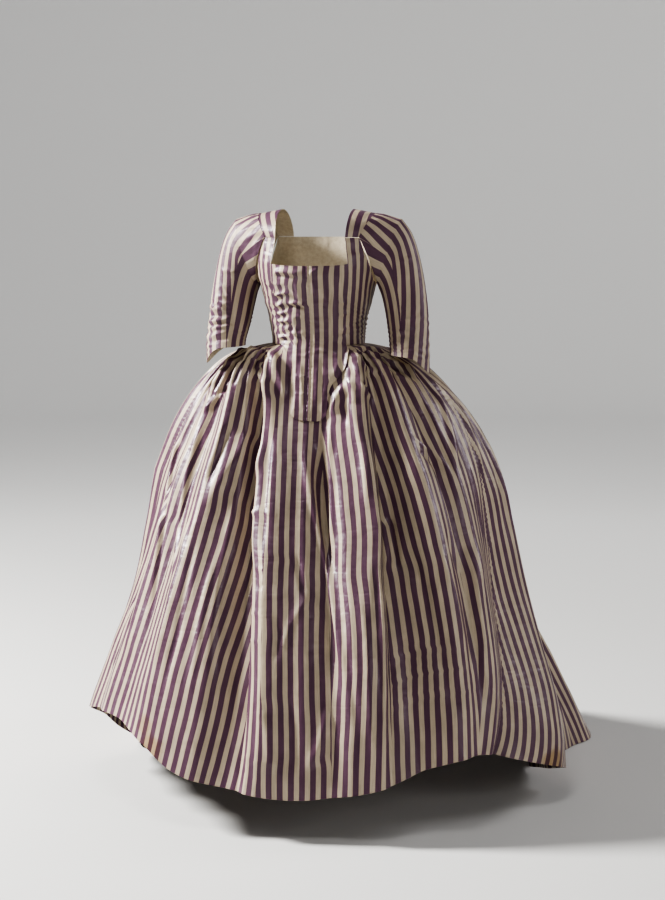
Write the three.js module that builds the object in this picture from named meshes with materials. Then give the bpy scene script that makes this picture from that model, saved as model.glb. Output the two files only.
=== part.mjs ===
// A robe a l'anglaise of about 1785 in striped silk: close-bodied bodice with a deep front point,
// elbow-length two-piece sleeves, and full pleated skirts that end in a short train.
// Millimetres. The origin is the centre of the waist, +Z is up, -Y is the front of the gown and
// +X is the wearer's left. Azimuths are in degrees from the front, positive to the wearer's left.
import * as THREE from 'three';

// ---- driving dimensions -------------------------------------------------------------------------
const WALL = 1.6;             // cloth drawn as a wall of this thickness
const SEAM_GAP = 0.75;        // two pieces that are sewn together stand this far apart
const ARMHOLE_LAP = 2.4;      // the sleeve head lies this far outside the armhole's edge
const POINT_LAP = 4.6;        // the front point lies this far outside the skirt
const WAIST_HEIGHT = 1017;    // the waist above the floor that the train reaches
const TRAIN_CLEARANCE = 2;    // the train just clears the floor
const POINT_DEPTH = 165;      // how far the front point reaches below the waist
const BACK_DIP = 24;          // how far the back waist seam dips at the centre back
const NECK_HEIGHT = 175;      // front neck edge above the waist
const YOKE_HEIGHT = 236;      // where the shoulder straps start, front and back
const ARMPIT_HEIGHT = 136;    // lowest point of the armhole
const STRAP_RISE = 62;        // how far the straps rise above the yoke height
const PLEATS_EACH_BACK = 8;   // deep pleats in each back skirt panel

// The skirt without its folds: distance from the axis at named azimuths, one row per drop below
// the waist seam. The skirts stand out over side pads and a false rump and hang flat in front.
const STATIONS = { front: 0, fore: 35, foreSide: 65, side: 90, hindSide: 115, hind: 140, back: 180 };
const SKIRT_SHAPE = [
  { drop: 0, front: 92, fore: 95, foreSide: 99, side: 101, hindSide: 97, hind: 88, back: 82 },
  { drop: 4, front: 93, fore: 98, foreSide: 114, side: 128, hindSide: 127, hind: 118, back: 112 },
  { drop: 14, front: 95, fore: 103, foreSide: 136, side: 160, hindSide: 164, hind: 166, back: 168 },
  { drop: 40, front: 101, fore: 116, foreSide: 170, side: 212, hindSide: 219, hind: 226, back: 228 },
  { drop: 80, front: 109, fore: 131, foreSide: 200, side: 256, hindSide: 266, hind: 276, back: 276 },
  { drop: 135, front: 122, fore: 148, foreSide: 230, side: 298, hindSide: 310, hind: 320, back: 316 },
  { drop: 200, front: 143, fore: 172, foreSide: 264, side: 332, hindSide: 346, hind: 358, back: 350 },
  { drop: 300, front: 188, fore: 222, foreSide: 318, side: 366, hindSide: 380, hind: 404, back: 398 },
  { drop: 420, front: 246, fore: 286, foreSide: 369, side: 389, hindSide: 408, hind: 462, back: 455 },
  { drop: 560, front: 316, fore: 360, foreSide: 422, side: 419, hindSide: 440, hind: 540, back: 534 },
  { drop: 700, front: 378, fore: 424, foreSide: 472, side: 468, hindSide: 475, hind: 640, back: 630 },
  { drop: 800, front: 412, fore: 460, foreSide: 506, side: 508, hindSide: 500, hind: 716, back: 704 },
  { drop: 907, front: 440, fore: 492, foreSide: 540, side: 544, hindSide: 518, hind: 800, back: 788 },
  { drop: 1016, front: 458, fore: 512, foreSide: 560, side: 562, hindSide: 532, hind: 890, back: 862 },
];

// Height of the hem above the floor: walking length in front, hitched up over the side pads, and
// down to the floor for the train.
const HEM_LINE = [
  { azimuth: -180, height: 2 }, { azimuth: -140, height: 2 }, { azimuth: -118, height: 2 },
  { azimuth: -104, height: 70 }, { azimuth: -90, height: 152 }, { azimuth: -75, height: 191 },
  { azimuth: -60, height: 214 }, { azimuth: -50, height: 204 }, { azimuth: -40, height: 176 },
  { azimuth: -30, height: 131 }, { azimuth: -20, height: 109 }, { azimuth: -8, height: 96 },
  { azimuth: 4, height: 89 }, { azimuth: 16, height: 99 }, { azimuth: 28, height: 119 },
  { azimuth: 40, height: 152 }, { azimuth: 52, height: 168 }, { azimuth: 64, height: 142 },
  { azimuth: 82, height: 88 }, { azimuth: 100, height: 36 }, { azimuth: 118, height: 2 },
  { azimuth: 140, height: 2 }, { azimuth: 180, height: 2 },
];

// The folds of the front and sides, in order round the gown: azimuth at the waist, half way down
// and at the hem, and how far each stands out of the plain skirt there (negative sinks in).
const FRONT_FOLDS = [
  { name: 'right_gown_edge', waist: -88, middle: -86, hem: -80, outWaist: -3, outMiddle: -14, outHem: -6 },
  { name: 'right_hip_fold', waist: -84, middle: -79, hem: -73, outWaist: 5, outMiddle: 0, outHem: 7 },
  { name: 'right_hip_hollow', waist: -80, middle: -72, hem: -66, outWaist: -4, outMiddle: -12, outHem: -5 },
  { name: 'right_side_fold', waist: -76, middle: -65, hem: -59, outWaist: 7, outMiddle: 4, outHem: 9 },
  { name: 'right_side_hollow', waist: -72, middle: -57, hem: -52, outWaist: -4, outMiddle: -12, outHem: -3 },
  { name: 'right_broad_ridge', waist: -66, middle: -47, hem: -41, outWaist: 12, outMiddle: 24, outHem: 12 },
  { name: 'right_slope', waist: -62, middle: -34, hem: -26, outWaist: 2, outMiddle: 4, outHem: 3 },
  { name: 'right_deep_hollow', waist: -58, middle: -24.5, hem: -15.5, outWaist: -3, outMiddle: -40, outHem: -14 },
  { name: 'right_tuck', waist: -55, middle: -20.5, hem: -12, outWaist: 2, outMiddle: -34, outHem: -11 },
  { name: 'right_lip', waist: -52, middle: -18, hem: -9.5, outWaist: 12, outMiddle: 8, outHem: 4 },
  { name: 'panel_crest', waist: -40, middle: -13.6, hem: -6.3, outWaist: 5, outMiddle: 22, outHem: 9 },
  { name: 'panel_slope', waist: -5, middle: 3, hem: 6, outWaist: 0, outMiddle: 8, outHem: 1 },
  { name: 'panel_hollow', waist: 11, middle: 14, hem: 14, outWaist: 0, outMiddle: -18, outHem: -6 },
  { name: 'panel_ridge', waist: 30, middle: 24, hem: 20, outWaist: -2, outMiddle: 14, outHem: 5 },
  { name: 'left_lip', waist: 52, middle: 36, hem: 27, outWaist: 13, outMiddle: 23, outHem: 7 },
  { name: 'left_tuck', waist: 55, middle: 38.5, hem: 29.5, outWaist: 0, outMiddle: -26, outHem: -4 },
  { name: 'left_deep_hollow', waist: 58, middle: 42.5, hem: 37, outWaist: -4, outMiddle: -28, outHem: -10 },
  { name: 'left_lit_ridge', waist: 63, middle: 57, hem: 48, outWaist: 6, outMiddle: 20, outHem: 16 },
  { name: 'left_side_hollow', waist: 69, middle: 65, hem: 53, outWaist: -3, outMiddle: -10, outHem: 0 },
  { name: 'left_side_fold', waist: 75, middle: 72, hem: 56.5, outWaist: 7, outMiddle: 9, outHem: -4 },
  { name: 'left_hip_hollow', waist: 82, middle: 80, hem: 60, outWaist: -3, outMiddle: -4, outHem: -36 },
  { name: 'left_gown_edge', waist: 89, middle: 88, hem: 64, outWaist: -3, outMiddle: -8, outHem: -72 },
  { name: 'left_gown_ridge', waist: 97, middle: 101, hem: 84, outWaist: -20, outMiddle: 50, outHem: 10 },
];

// The torso: half width to the side, front and back, one row per height above the waist.
const TORSO_SHAPE = [
  { height: -30, side: 104, front: 95, back: 84 },
  { height: 0, side: 104, front: 95, back: 85 },
  { height: 30, side: 107, front: 99, back: 88 },
  { height: 60, side: 112, front: 106, back: 92 },
  { height: 100, side: 122, front: 118, back: 97 },
  { height: 135, side: 131, front: 130, back: 102 },
  { height: 160, side: 137, front: 136, back: 106 },
  { height: 185, side: 141, front: 133, back: 109 },
  { height: 210, side: 144, front: 124, back: 111 },
  { height: 250, side: 146, front: 110, back: 112 },
];
const TORSO_SQUARENESS = 2.15;

// How far the front point reaches to each side of the centre front, one row per drop below the
// waist. Its left half keeps a broad tab over the hip before it narrows.
const POINT_EDGE = [
  { drop: 0, left: 71, right: 71 },
  { drop: 8, left: 80, right: 62 },
  { drop: 22, left: 90, right: 53 },
  { drop: 48, left: 86, right: 46 },
  { drop: 70, left: 68, right: 43 },
  { drop: 90, left: 50, right: 42 },
  { drop: 115, left: 44, right: 41 },
  { drop: 165, left: 41, right: 39 },
];

// Seam between front and side piece, and between side and back piece, as azimuths by height.
const BODICE_SEAMS = [
  { height: 0, frontSeam: 47, backSeam: 151 },
  { height: 60, frontSeam: 43, backSeam: 141 },
  { height: 120, frontSeam: 40, backSeam: 131 },
  { height: 175, frontSeam: 38, backSeam: 126 },
  { height: 250, frontSeam: 38, backSeam: 126 },
];
const STRAP_OUTER = 52;       // azimuth of the strap's outer edge at the front yoke
const STRAP_BACK_INNER = 142; // azimuth of the strap's neck edge at the back yoke
const STRAP_FLARE = 26;       // how far the strap spreads sideways on top of the shoulder

// Sleeve sections from the shoulder to the hem: outer and inner point, half depth, and how far
// forward the middle of the arm has swung.
const SLEEVE_SHAPE = [
  { outerX: 188, outerZ: 276, innerX: 137, innerZ: 124, depth: 62, forward: 0 },
  { outerX: 210, outerZ: 246, innerX: 143, innerZ: 110, depth: 58, forward: 2 },
  { outerX: 226, outerZ: 205, innerX: 148, innerZ: 92, depth: 54, forward: 6 },
  { outerX: 237, outerZ: 155, innerX: 153, innerZ: 70, depth: 50, forward: 14 },
  { outerX: 245, outerZ: 105, innerX: 157, innerZ: 47, depth: 47, forward: 25 },
  { outerX: 250, outerZ: 60, innerX: 161, innerZ: 25, depth: 46, forward: 38 },
  { outerX: 253, outerZ: 18, innerX: 164, innerZ: 8, depth: 47, forward: 51 },
  { outerX: 254, outerZ: -12, innerX: 165, innerZ: -4, depth: 48, forward: 60 },
];
const ELBOW_DROP = 32;        // the hem reaches this much lower on the outer side of the elbow
const SLEEVES = [
  { side: 'left', sign: 1, spread: 6, lower: 16 },
  { side: 'right', sign: -1, spread: -10, lower: 0 },
];
const SLEEVE_SEAM_TOP = 90;   // front seam of the sleeve, degrees round it from the outer side
const SLEEVE_SEAM_HEM = 106;

// ---- small helpers ------------------------------------------------------------------------------
const rad = THREE.MathUtils.degToRad;
const mix = THREE.MathUtils.lerp;

// Smooth curve through the rows of a table, straight on past its ends.
function lookup(rows, key, column, at) {
  let i = 0;
  while (i < rows.length - 2 && at > rows[i + 1][key]) i += 1;
  const slope = (j) => {
    const a = rows[Math.max(j - 1, 0)];
    const b = rows[Math.min(j + 1, rows.length - 1)];
    return (b[column] - a[column]) / (b[key] - a[key]);
  };
  const span = rows[i + 1][key] - rows[i][key];
  const q = THREE.MathUtils.clamp((at - rows[i][key]) / span, 0, 1);
  const rise = q * q * (3 - 2 * q);
  const value = mix(rows[i][column], rows[i + 1][column], rise);
  const lean = slope(i) * q * (1 - q) * (1 - q) - slope(i + 1) * q * q * (1 - q);
  return value + lean * span;
}

// Parabola through a value at the waist, half way down and at the hem.
function throughThree(waist, middle, hem, t) {
  return waist * (1 - t) * (1 - 2 * t) + middle * 4 * t * (1 - t) + hem * t * (2 * t - 1);
}

function around(azimuth, radius, z) {
  const a = rad(azimuth);
  return new THREE.Vector3(radius * Math.sin(a), -radius * Math.cos(a), z);
}

// Unit normal of a surface given as a function of two parameters, pointing away from the wearer.
function surfaceNormal(surface, a, b, stepA, stepB) {
  const acrossWay = surface(a + stepA, b).sub(surface(a - stepA, b));
  const downWay = surface(a, b + stepB).sub(surface(a, b - stepB));
  return downWay.cross(acrossWay).normalize();
}

// ---- skirt --------------------------------------------------------------------------------------
const STATION_NAMES = Object.keys(STATIONS);

function plainRadius(azimuth, drop) {
  const turn = Math.abs(THREE.MathUtils.euclideanModulo(azimuth + 180, 360) - 180);
  const ring = STATION_NAMES.map((name) => ({
    azimuth: STATIONS[name],
    radius: lookup(SKIRT_SHAPE, 'drop', name, drop),
  }));
  const mirroredStart = { azimuth: -ring[1].azimuth, radius: ring[1].radius };
  const mirroredEnd = { azimuth: 360 - ring[5].azimuth, radius: ring[5].radius };
  return lookup([mirroredStart, ...ring, mirroredEnd], 'azimuth', 'radius', turn);
}

function topDrop(azimuth) {
  const dip = THREE.MathUtils.smoothstep(Math.abs(azimuth), 152, 180);
  return SEAM_GAP + BACK_DIP * dip;
}

function plainPoint(azimuth, t) {
  const turn = THREE.MathUtils.euclideanModulo(azimuth + 180, 360) - 180;
  const start = topDrop(turn);
  const hem = WAIST_HEIGHT - Math.max(lookup(HEM_LINE, 'azimuth', 'height', turn), TRAIN_CLEARANCE);
  const drop = mix(start, hem, t);
  return around(azimuth, plainRadius(turn, drop - start), -drop);
}

// Back pleats: even at the waist, wider apart round the train, each a ridge and a hollow.
function backFolds(side, from, sign) {
  const folds = [];
  const count = PLEATS_EACH_BACK * 2;
  for (let i = 1; i < count; i += 1) {
    const share = i / count;
    const uneven = Math.sin(i * 2.3) * 1.6;
    const ridge = i % 2 === 1 ? 1 : -1;
    const depth = 1 + 0.35 * Math.sin(i * 1.7);
    folds.push({
      name: `${side}_back_fold_${i}`,
      waist: sign * mix(from.waist, 180, share),
      middle: sign * (mix(from.middle, 180, share) + uneven),
      hem: sign * (mix(from.hem, 180, share ** 0.86) + uneven),
      outWaist: ridge * 4,
      outMiddle: ridge * 15 * depth,
      outHem: ridge * 10 * depth,
    });
  }
  return folds;
}

const CENTRE_BACK = { outWaist: -3, outMiddle: -12, outHem: -6 };
const FIRST = FRONT_FOLDS[0];
const LAST = FRONT_FOLDS[FRONT_FOLDS.length - 1];
const FIRST_MIRRORED = { waist: -FIRST.waist, middle: -FIRST.middle, hem: -FIRST.hem };
const FOLDS = [
  { ...CENTRE_BACK, name: 'centre_back_start', waist: -180, middle: -180, hem: -180 },
  ...backFolds('right', FIRST_MIRRORED, -1).reverse(),
  ...FRONT_FOLDS,
  ...backFolds('left', LAST, 1),
  { ...CENTRE_BACK, name: 'centre_back_end', waist: 180, middle: 180, hem: 180 },
];
const foldIndex = (name) => FOLDS.findIndex((fold) => fold.name === name);

// A point of the folded skirt. place counts along FOLDS, so 12.5 is half way between two folds.
function skirtPoint(place, t) {
  const i = THREE.MathUtils.clamp(Math.floor(place), 0, FOLDS.length - 2);
  const q = place - i;
  const here = FOLDS[i];
  const next = FOLDS[i + 1];
  const azimuth = mix(
    throughThree(here.waist, here.middle, here.hem, t),
    throughThree(next.waist, next.middle, next.hem, t),
    q,
  );
  const out = mix(
    throughThree(here.outWaist, here.outMiddle, here.outHem, t),
    throughThree(next.outWaist, next.outMiddle, next.outHem, t),
    (1 - Math.cos(Math.PI * q)) / 2,
  );
  const flatUntil = mix(0.26, 0.03, THREE.MathUtils.smoothstep(Math.abs(azimuth), 24, 46));
  const fade = THREE.MathUtils.smoothstep(t, 0.3 * flatUntil, flatUntil);
  const normal = surfaceNormal(plainPoint, azimuth, t, 1.5, 0.004);
  normal.z *= 1 - THREE.MathUtils.smoothstep(t, 0.5, 0.95);
  return plainPoint(azimuth, t).addScaledVector(normal.normalize(), out * fade);
}

const skirtNormal = (place, t) => surfaceNormal(skirtPoint, place, t, 0.12, 0.004);

// ---- bodice -------------------------------------------------------------------------------------
function torsoPoint(azimuth, height) {
  const side = lookup(TORSO_SHAPE, 'height', 'side', height);
  const depthColumn = Math.cos(rad(azimuth)) > 0 ? 'front' : 'back';
  const depth = lookup(TORSO_SHAPE, 'height', depthColumn, height);
  const across = Math.abs(Math.sin(rad(azimuth)) / side) ** TORSO_SQUARENESS;
  const along = Math.abs(Math.cos(rad(azimuth)) / depth) ** TORSO_SQUARENESS;
  return around(azimuth, (across + along) ** (-1 / TORSO_SQUARENESS), height);
}

const torsoNormal = (azimuth, height) => surfaceNormal(torsoPoint, azimuth, height, -1, 2);
const frontSeam = (height) => lookup(BODICE_SEAMS, 'height', 'frontSeam', height);
const backSeam = (height) => lookup(BODICE_SEAMS, 'height', 'backSeam', height);

// Share of the side piece taken by the foot of the shoulder strap, and its upper edge.
const STRAP_SHARE = (STRAP_OUTER - frontSeam(YOKE_HEIGHT)) / (backSeam(YOKE_HEIGHT) - frontSeam(YOKE_HEIGHT));

function sideTop(share) {
  if (share <= STRAP_SHARE) return YOKE_HEIGHT;
  const swing = Math.abs((2 * (share - STRAP_SHARE)) / (1 - STRAP_SHARE) - 1);
  return mix(ARMPIT_HEIGHT, YOKE_HEIGHT, swing ** 2.6);
}

const sideAzimuth = (share, height) => mix(frontSeam(height), backSeam(height), share);

// The front point lies on the skirt: its points are the skirt's, moved out.
function foldPlace(azimuth, t) {
  let i = 0;
  const at = (fold) => throughThree(fold.waist, fold.middle, fold.hem, t);
  while (i < FOLDS.length - 2 && azimuth > at(FOLDS[i + 1])) i += 1;
  return i + (azimuth - at(FOLDS[i])) / (at(FOLDS[i + 1]) - at(FOLDS[i]));
}

function pointAzimuth(share, drop, side) {
  const half = lookup(POINT_EDGE, 'drop', side, drop) * share;
  let azimuth = 0;
  for (let turn = 0; turn < 8; turn += 1) {
    azimuth = THREE.MathUtils.radToDeg(Math.asin(half / plainRadius(azimuth, drop)));
  }
  return azimuth;
}

// ---- sleeves ------------------------------------------------------------------------------------
function strapEdge(frontAzimuth, backAzimuth, flare, turn) {
  const front = torsoPoint(frontAzimuth, YOKE_HEIGHT);
  const back = torsoPoint(backAzimuth, YOKE_HEIGHT);
  const swing = Math.sin(Math.PI * turn);
  const forward = (1 - Math.cos(Math.PI * turn)) / 2;
  const point = front.lerp(back, forward);
  point.x += flare * swing;
  point.z += SEAM_GAP + STRAP_RISE * swing;
  return point;
}

// turn runs from the front yoke (0) over the shoulder to the back yoke (1), share from the neck
// edge (0) to the armhole (1).
function strapPoint(share, turn) {
  const neck = strapEdge(frontSeam(YOKE_HEIGHT), STRAP_BACK_INNER, 4, turn);
  const outer = strapEdge(STRAP_OUTER, backSeam(YOKE_HEIGHT), STRAP_FLARE, turn);
  outer.z -= 10 * Math.sin(Math.PI * turn);
  return neck.lerp(outer, share);
}

// The armhole as one loop: 0 on top of the shoulder, 90 in front, 180 in the armpit, 270 behind.
function armholePoint(round) {
  const turn = THREE.MathUtils.euclideanModulo(round + 90, 360);
  if (turn <= 180) {
    const point = strapPoint(1, 1 - turn / 180);
    const away = new THREE.Vector3(0, point.y, point.z - YOKE_HEIGHT).normalize();
    return point.addScaledVector(away, ARMHOLE_LAP / 2 + WALL);
  }
  const share = mix(STRAP_SHARE, 1, (turn - 180) / 180);
  const height = sideTop(share);
  const azimuth = sideAzimuth(share, height);
  return torsoPoint(azimuth, height).addScaledVector(torsoNormal(azimuth, height), ARMHOLE_LAP + WALL);
}

// round goes round the sleeve as round the armhole, along runs from the armhole (0) to the hem (1).
const CAP_SHARE = 0.16;

function sleevePoint(round, along, arm) {
  const rows = SLEEVE_SHAPE.map((row, i) => ({ ...row, at: i / (SLEEVE_SHAPE.length - 1) }));
  const place = Math.max((along - CAP_SHARE) / (1 - CAP_SHARE), 0);
  const size = (column) => lookup(rows, 'at', column, place);
  const outer = new THREE.Vector3(size('outerX') + arm.spread * place, 0, size('outerZ'));
  const inner = new THREE.Vector3(size('innerX') + arm.spread * place, 0, size('innerZ'));
  const turn = rad(round);
  const point = outer.lerp(inner, (1 - Math.cos(turn)) / 2);
  point.y -= size('depth') * Math.sin(turn) + size('forward');
  point.z -= arm.lower * place + ELBOW_DROP * place ** 6 * Math.max(0, Math.cos(turn)) ** 2;
  if (along < CAP_SHARE) {
    const blend = Math.sin((Math.PI / 2) * (along / CAP_SHARE));
    point.lerpVectors(armholePoint(round), point, blend);
  }
  return point;
}

// ---- walls --------------------------------------------------------------------------------------
// A closed wall on a grid of points: outside as given, inside moved in along the normals.
function clothWall(rowCount, columnCount, pointAt, normalAt) {
  const positions = [];
  for (const depth of [0, WALL]) {
    for (let row = 0; row < rowCount; row += 1) {
      for (let column = 0; column < columnCount; column += 1) {
        const point = pointAt(row, column).addScaledVector(normalAt(row, column), -depth);
        positions.push(point.x, point.y, point.z);
      }
    }
  }
  const index = [];
  const outside = (row, column) => row * columnCount + column;
  const inside = (row, column) => (rowCount + row) * columnCount + column;
  const quad = (a, b, c, d) => index.push(a, b, c, a, c, d);
  for (let row = 0; row < rowCount - 1; row += 1) {
    for (let column = 0; column < columnCount - 1; column += 1) {
      const [down, right] = [row + 1, column + 1];
      quad(outside(row, column), outside(down, column), outside(down, right), outside(row, right));
      quad(inside(down, right), inside(down, column), inside(row, column), inside(row, right));
    }
  }
  const bottom = rowCount - 1;
  const end = columnCount - 1;
  for (let column = 0; column < end; column += 1) {
    const right = column + 1;
    quad(outside(0, column), outside(0, right), inside(0, right), inside(0, column));
    quad(outside(bottom, right), outside(bottom, column), inside(bottom, column), inside(bottom, right));
  }
  for (let row = 0; row < bottom; row += 1) {
    const down = row + 1;
    quad(outside(down, 0), outside(row, 0), inside(row, 0), inside(down, 0));
    quad(outside(row, end), outside(down, end), inside(down, end), inside(row, end));
  }
  const geometry = new THREE.BufferGeometry();
  geometry.setAttribute('position', new THREE.Float32BufferAttribute(positions, 3));
  geometry.setIndex(index);
  return geometry;
}

// Moves the first and last column in along the surface, to leave room at the seams.
function seamed(pointAt, columnCount) {
  return (row, column) => {
    const point = pointAt(row, column);
    if (column === 0 || column === columnCount - 1) {
      const inside = pointAt(row, column === 0 ? 1 : columnCount - 2);
      point.add(inside.sub(point).setLength(SEAM_GAP / 2));
    }
    return point;
  };
}

const even = (count) => Array.from({ length: count }, (unused, i) => i / (count - 1));

// ---- pieces -------------------------------------------------------------------------------------
const gown = new THREE.Group();

function addPiece(name, geometry, color) {
  const material = new THREE.MeshStandardMaterial({ color, roughness: 0.42, metalness: 0 });
  const mesh = new THREE.Mesh(geometry, material);
  mesh.name = name;
  gown.add(mesh);
}

const PURPLE = 0x6e5078;
const LILAC = 0x8a6c92;
const CREAM = 0xd9d0b8;

// Skirt: one panel between each two folds named here, with rows closest together at the waist.
const SKIRT_ROWS = [0, 0.008, 0.022, 0.05, 0.09, 0.15, 0.23, 0.34, 0.48, 0.65, 0.83, 1];

function skirtPanel(name, firstPlace, lastPlace, step, color) {
  const count = Math.round((lastPlace - firstPlace) / step) + 1;
  const placeAt = (column) => firstPlace + column * step;
  const pointAt = (row, column) => skirtPoint(placeAt(column), SKIRT_ROWS[row]);
  const normalAt = (row, column) => skirtNormal(placeAt(column), SKIRT_ROWS[row]);
  addPiece(name, clothWall(SKIRT_ROWS.length, count, seamed(pointAt, count), normalAt), color);
}

// The gown's skirt is three widths of silk on each side, joined in the hollows of its pleats.
const SKIRT_PANELS = [
  { name: 'skirt_back_right_inner', from: 'centre_back_start', to: 'right_back_fold_12', step: 1 },
  { name: 'skirt_back_right_middle', from: 'right_back_fold_12', to: 'right_back_fold_6', step: 1 },
  { name: 'skirt_back_right_outer', from: 'right_back_fold_6', to: 'right_gown_edge', step: 1 },
  { name: 'skirt_side_right', from: 'right_gown_edge', to: 'right_tuck', step: 0.5 },
  { name: 'skirt_front', from: 'right_tuck', to: 'left_tuck', step: 0.5 },
  { name: 'skirt_side_left', from: 'left_tuck', to: 'left_gown_edge', step: 0.5 },
  { name: 'skirt_back_left_outer', from: 'left_gown_edge', to: 'left_back_fold_6', step: 1 },
  { name: 'skirt_back_left_middle', from: 'left_back_fold_6', to: 'left_back_fold_12', step: 1 },
  { name: 'skirt_back_left_inner', from: 'left_back_fold_12', to: 'centre_back_end', step: 1 },
];
SKIRT_PANELS.forEach((panel, i) => {
  skirtPanel(panel.name, foldIndex(panel.from), foldIndex(panel.to), panel.step, i % 2 ? PURPLE : LILAC);
});

// Bodice fronts, each in one piece with its half of the point.
const FRONT_HEM_DROP = WAIST_HEIGHT - lookup(HEM_LINE, 'azimuth', 'height', 0);
const FRONT_SHARES = even(6);
const POINT_ROWS = [1, 0.9, 0.72, 0.56, 0.45, 0.34, 0.2, 0.1, 0.03];
const FRONT_ROWS = [0, 0.1, 0.25, 0.42, 0.6, 0.78, 0.9, 1];

function frontOutline(share, row) {
  if (row < POINT_ROWS.length) {
    const tip = POINT_DEPTH - 12 * share ** 4;
    return { drop: tip * POINT_ROWS[row] };
  }
  return { height: (NECK_HEIGHT + 4 * share ** 3) * FRONT_ROWS[row - POINT_ROWS.length] };
}

function bodiceFront(name, sign, color) {
  const count = FRONT_SHARES.length;
  const rowCount = FRONT_ROWS.length + POINT_ROWS.length;
  const cell = (row, column) => {
    const share = FRONT_SHARES[sign > 0 ? column : count - 1 - column];
    const { drop, height } = frontOutline(share, rowCount - 1 - row);
    if (drop === undefined) {
      const azimuth = sign * share * frontSeam(height);
      return { point: torsoPoint(azimuth, height), normal: torsoNormal(azimuth, height) };
    }
    const t = drop / FRONT_HEM_DROP;
    const place = foldPlace(sign * pointAzimuth(share, drop, sign > 0 ? 'left' : 'right'), t);
    const normal = skirtNormal(place, t);
    return { point: skirtPoint(place, t).addScaledVector(normal, POINT_LAP + WALL), normal };
  };
  const pointAt = (row, column) => cell(row, column).point;
  const normalAt = (row, column) => cell(row, column).normal;
  addPiece(name, clothWall(rowCount, count, seamed(pointAt, count), normalAt), color);
}

bodiceFront('bodice_front_left', 1, PURPLE);
bodiceFront('bodice_front_right', -1, PURPLE);

// Side pieces, from the waist to the yoke, cut away round the armhole.
const SIDE_SHARES = [0, 0.08, STRAP_SHARE, 0.24, 0.33, 0.44, 0.54, 0.64, 0.74, 0.83, 0.92, 1];
const SIDE_ROWS = even(9);
const BACK_SHARES = even(6);
const BACK_ROWS = even(9);

function bodicePanel(name, sign, shares, rows, azimuthAt, bottomAt, topAt, color) {
  const count = shares.length;
  const cell = (row, column) => {
    const share = shares[sign > 0 ? column : count - 1 - column];
    const height = mix(bottomAt(share), topAt(share), 1 - rows[row]);
    return { azimuth: sign * azimuthAt(share, Math.max(height, 0)), height };
  };
  const pointAt = (row, column) => {
    const { azimuth, height } = cell(row, column);
    return torsoPoint(azimuth, height);
  };
  const normalAt = (row, column) => {
    const { azimuth, height } = cell(row, column);
    return torsoNormal(azimuth, height);
  };
  addPiece(name, clothWall(rows.length, count, seamed(pointAt, count), normalAt), color);
}

const backAzimuth = (share, height) => mix(backSeam(height), 180, share);
const backBottom = (share) => -topDrop(backAzimuth(share, 0)) + SEAM_GAP;

for (const { side, sign } of SLEEVES) {
  bodicePanel(`bodice_side_${side}`, sign, SIDE_SHARES, SIDE_ROWS, sideAzimuth, () => 0, sideTop, LILAC);
  bodicePanel(
    `bodice_back_${side}`, sign, BACK_SHARES, BACK_ROWS, backAzimuth, backBottom, () => YOKE_HEIGHT, PURPLE,
  );
}

// Shoulder straps, arched from the front yoke to the back yoke.
const STRAP_ROWS = even(11);
const STRAP_COLUMNS = even(3);
const mirrored = (point, sign) => point.setX(point.x * sign);

function shoulderStrap(name, sign, color) {
  const share = (column) => STRAP_COLUMNS[sign > 0 ? column : STRAP_COLUMNS.length - 1 - column];
  const pointAt = (row, column) => mirrored(strapPoint(share(column), 1 - STRAP_ROWS[row]), sign);
  const normalAt = (row, column) => {
    const point = pointAt(row, column);
    return new THREE.Vector3(0, point.y, point.z - YOKE_HEIGHT).normalize();
  };
  addPiece(name, clothWall(STRAP_ROWS.length, STRAP_COLUMNS.length, pointAt, normalAt), color);
}

// Sleeves: an upper piece round the outside and an under piece against the body.
const SLEEVE_ROWS = [0, 0.08, 0.16, 0.26, 0.38, 0.5, 0.62, 0.74, 0.86, 1];

function sleevePiece(name, arm, isUnder, count, color) {
  const roundAt = (row, column) => {
    const seam = mix(SLEEVE_SEAM_TOP, SLEEVE_SEAM_HEM, SLEEVE_ROWS[row]);
    const share = column / (count - 1);
    const turn = arm.sign > 0 ? 1 - share : share;
    return isUnder ? mix(seam, 360 - seam, turn) : mix(-seam, seam, turn);
  };
  const surface = (round, along) => mirrored(sleevePoint(round, along, arm), arm.sign);
  const pointAt = (row, column) => surface(roundAt(row, column), SLEEVE_ROWS[row]);
  const normalAt = (row, column) => {
    const along = Math.min(Math.max(SLEEVE_ROWS[row], 0.02), 0.98);
    return surfaceNormal(surface, roundAt(row, column), along, -3 * arm.sign, 0.02);
  };
  addPiece(name, clothWall(SLEEVE_ROWS.length, count, seamed(pointAt, count), normalAt), color);
}

for (const arm of SLEEVES) {
  shoulderStrap(`shoulder_strap_${arm.side}`, arm.sign, CREAM);
  sleevePiece(`sleeve_upper_${arm.side}`, arm, false, 11, LILAC);
  sleevePiece(`sleeve_under_${arm.side}`, arm, true, 9, PURPLE);
}

export default gown;
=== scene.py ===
# %% [markdown]
# # A robe a l'anglaise in striped silk
# The gown is worn but empty: a close bodice with a deep front point, two-piece sleeves to the
# elbow, and wide pleated skirts that end in a short train. Each piece of cloth could be draped
# by simulation, but a pleated taffeta skirt keeps the folds it was arranged in. So each piece is
# a thin shell laid out on the form of its solid, with its creases named one by one.

# %% Load the frame
import math

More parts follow.
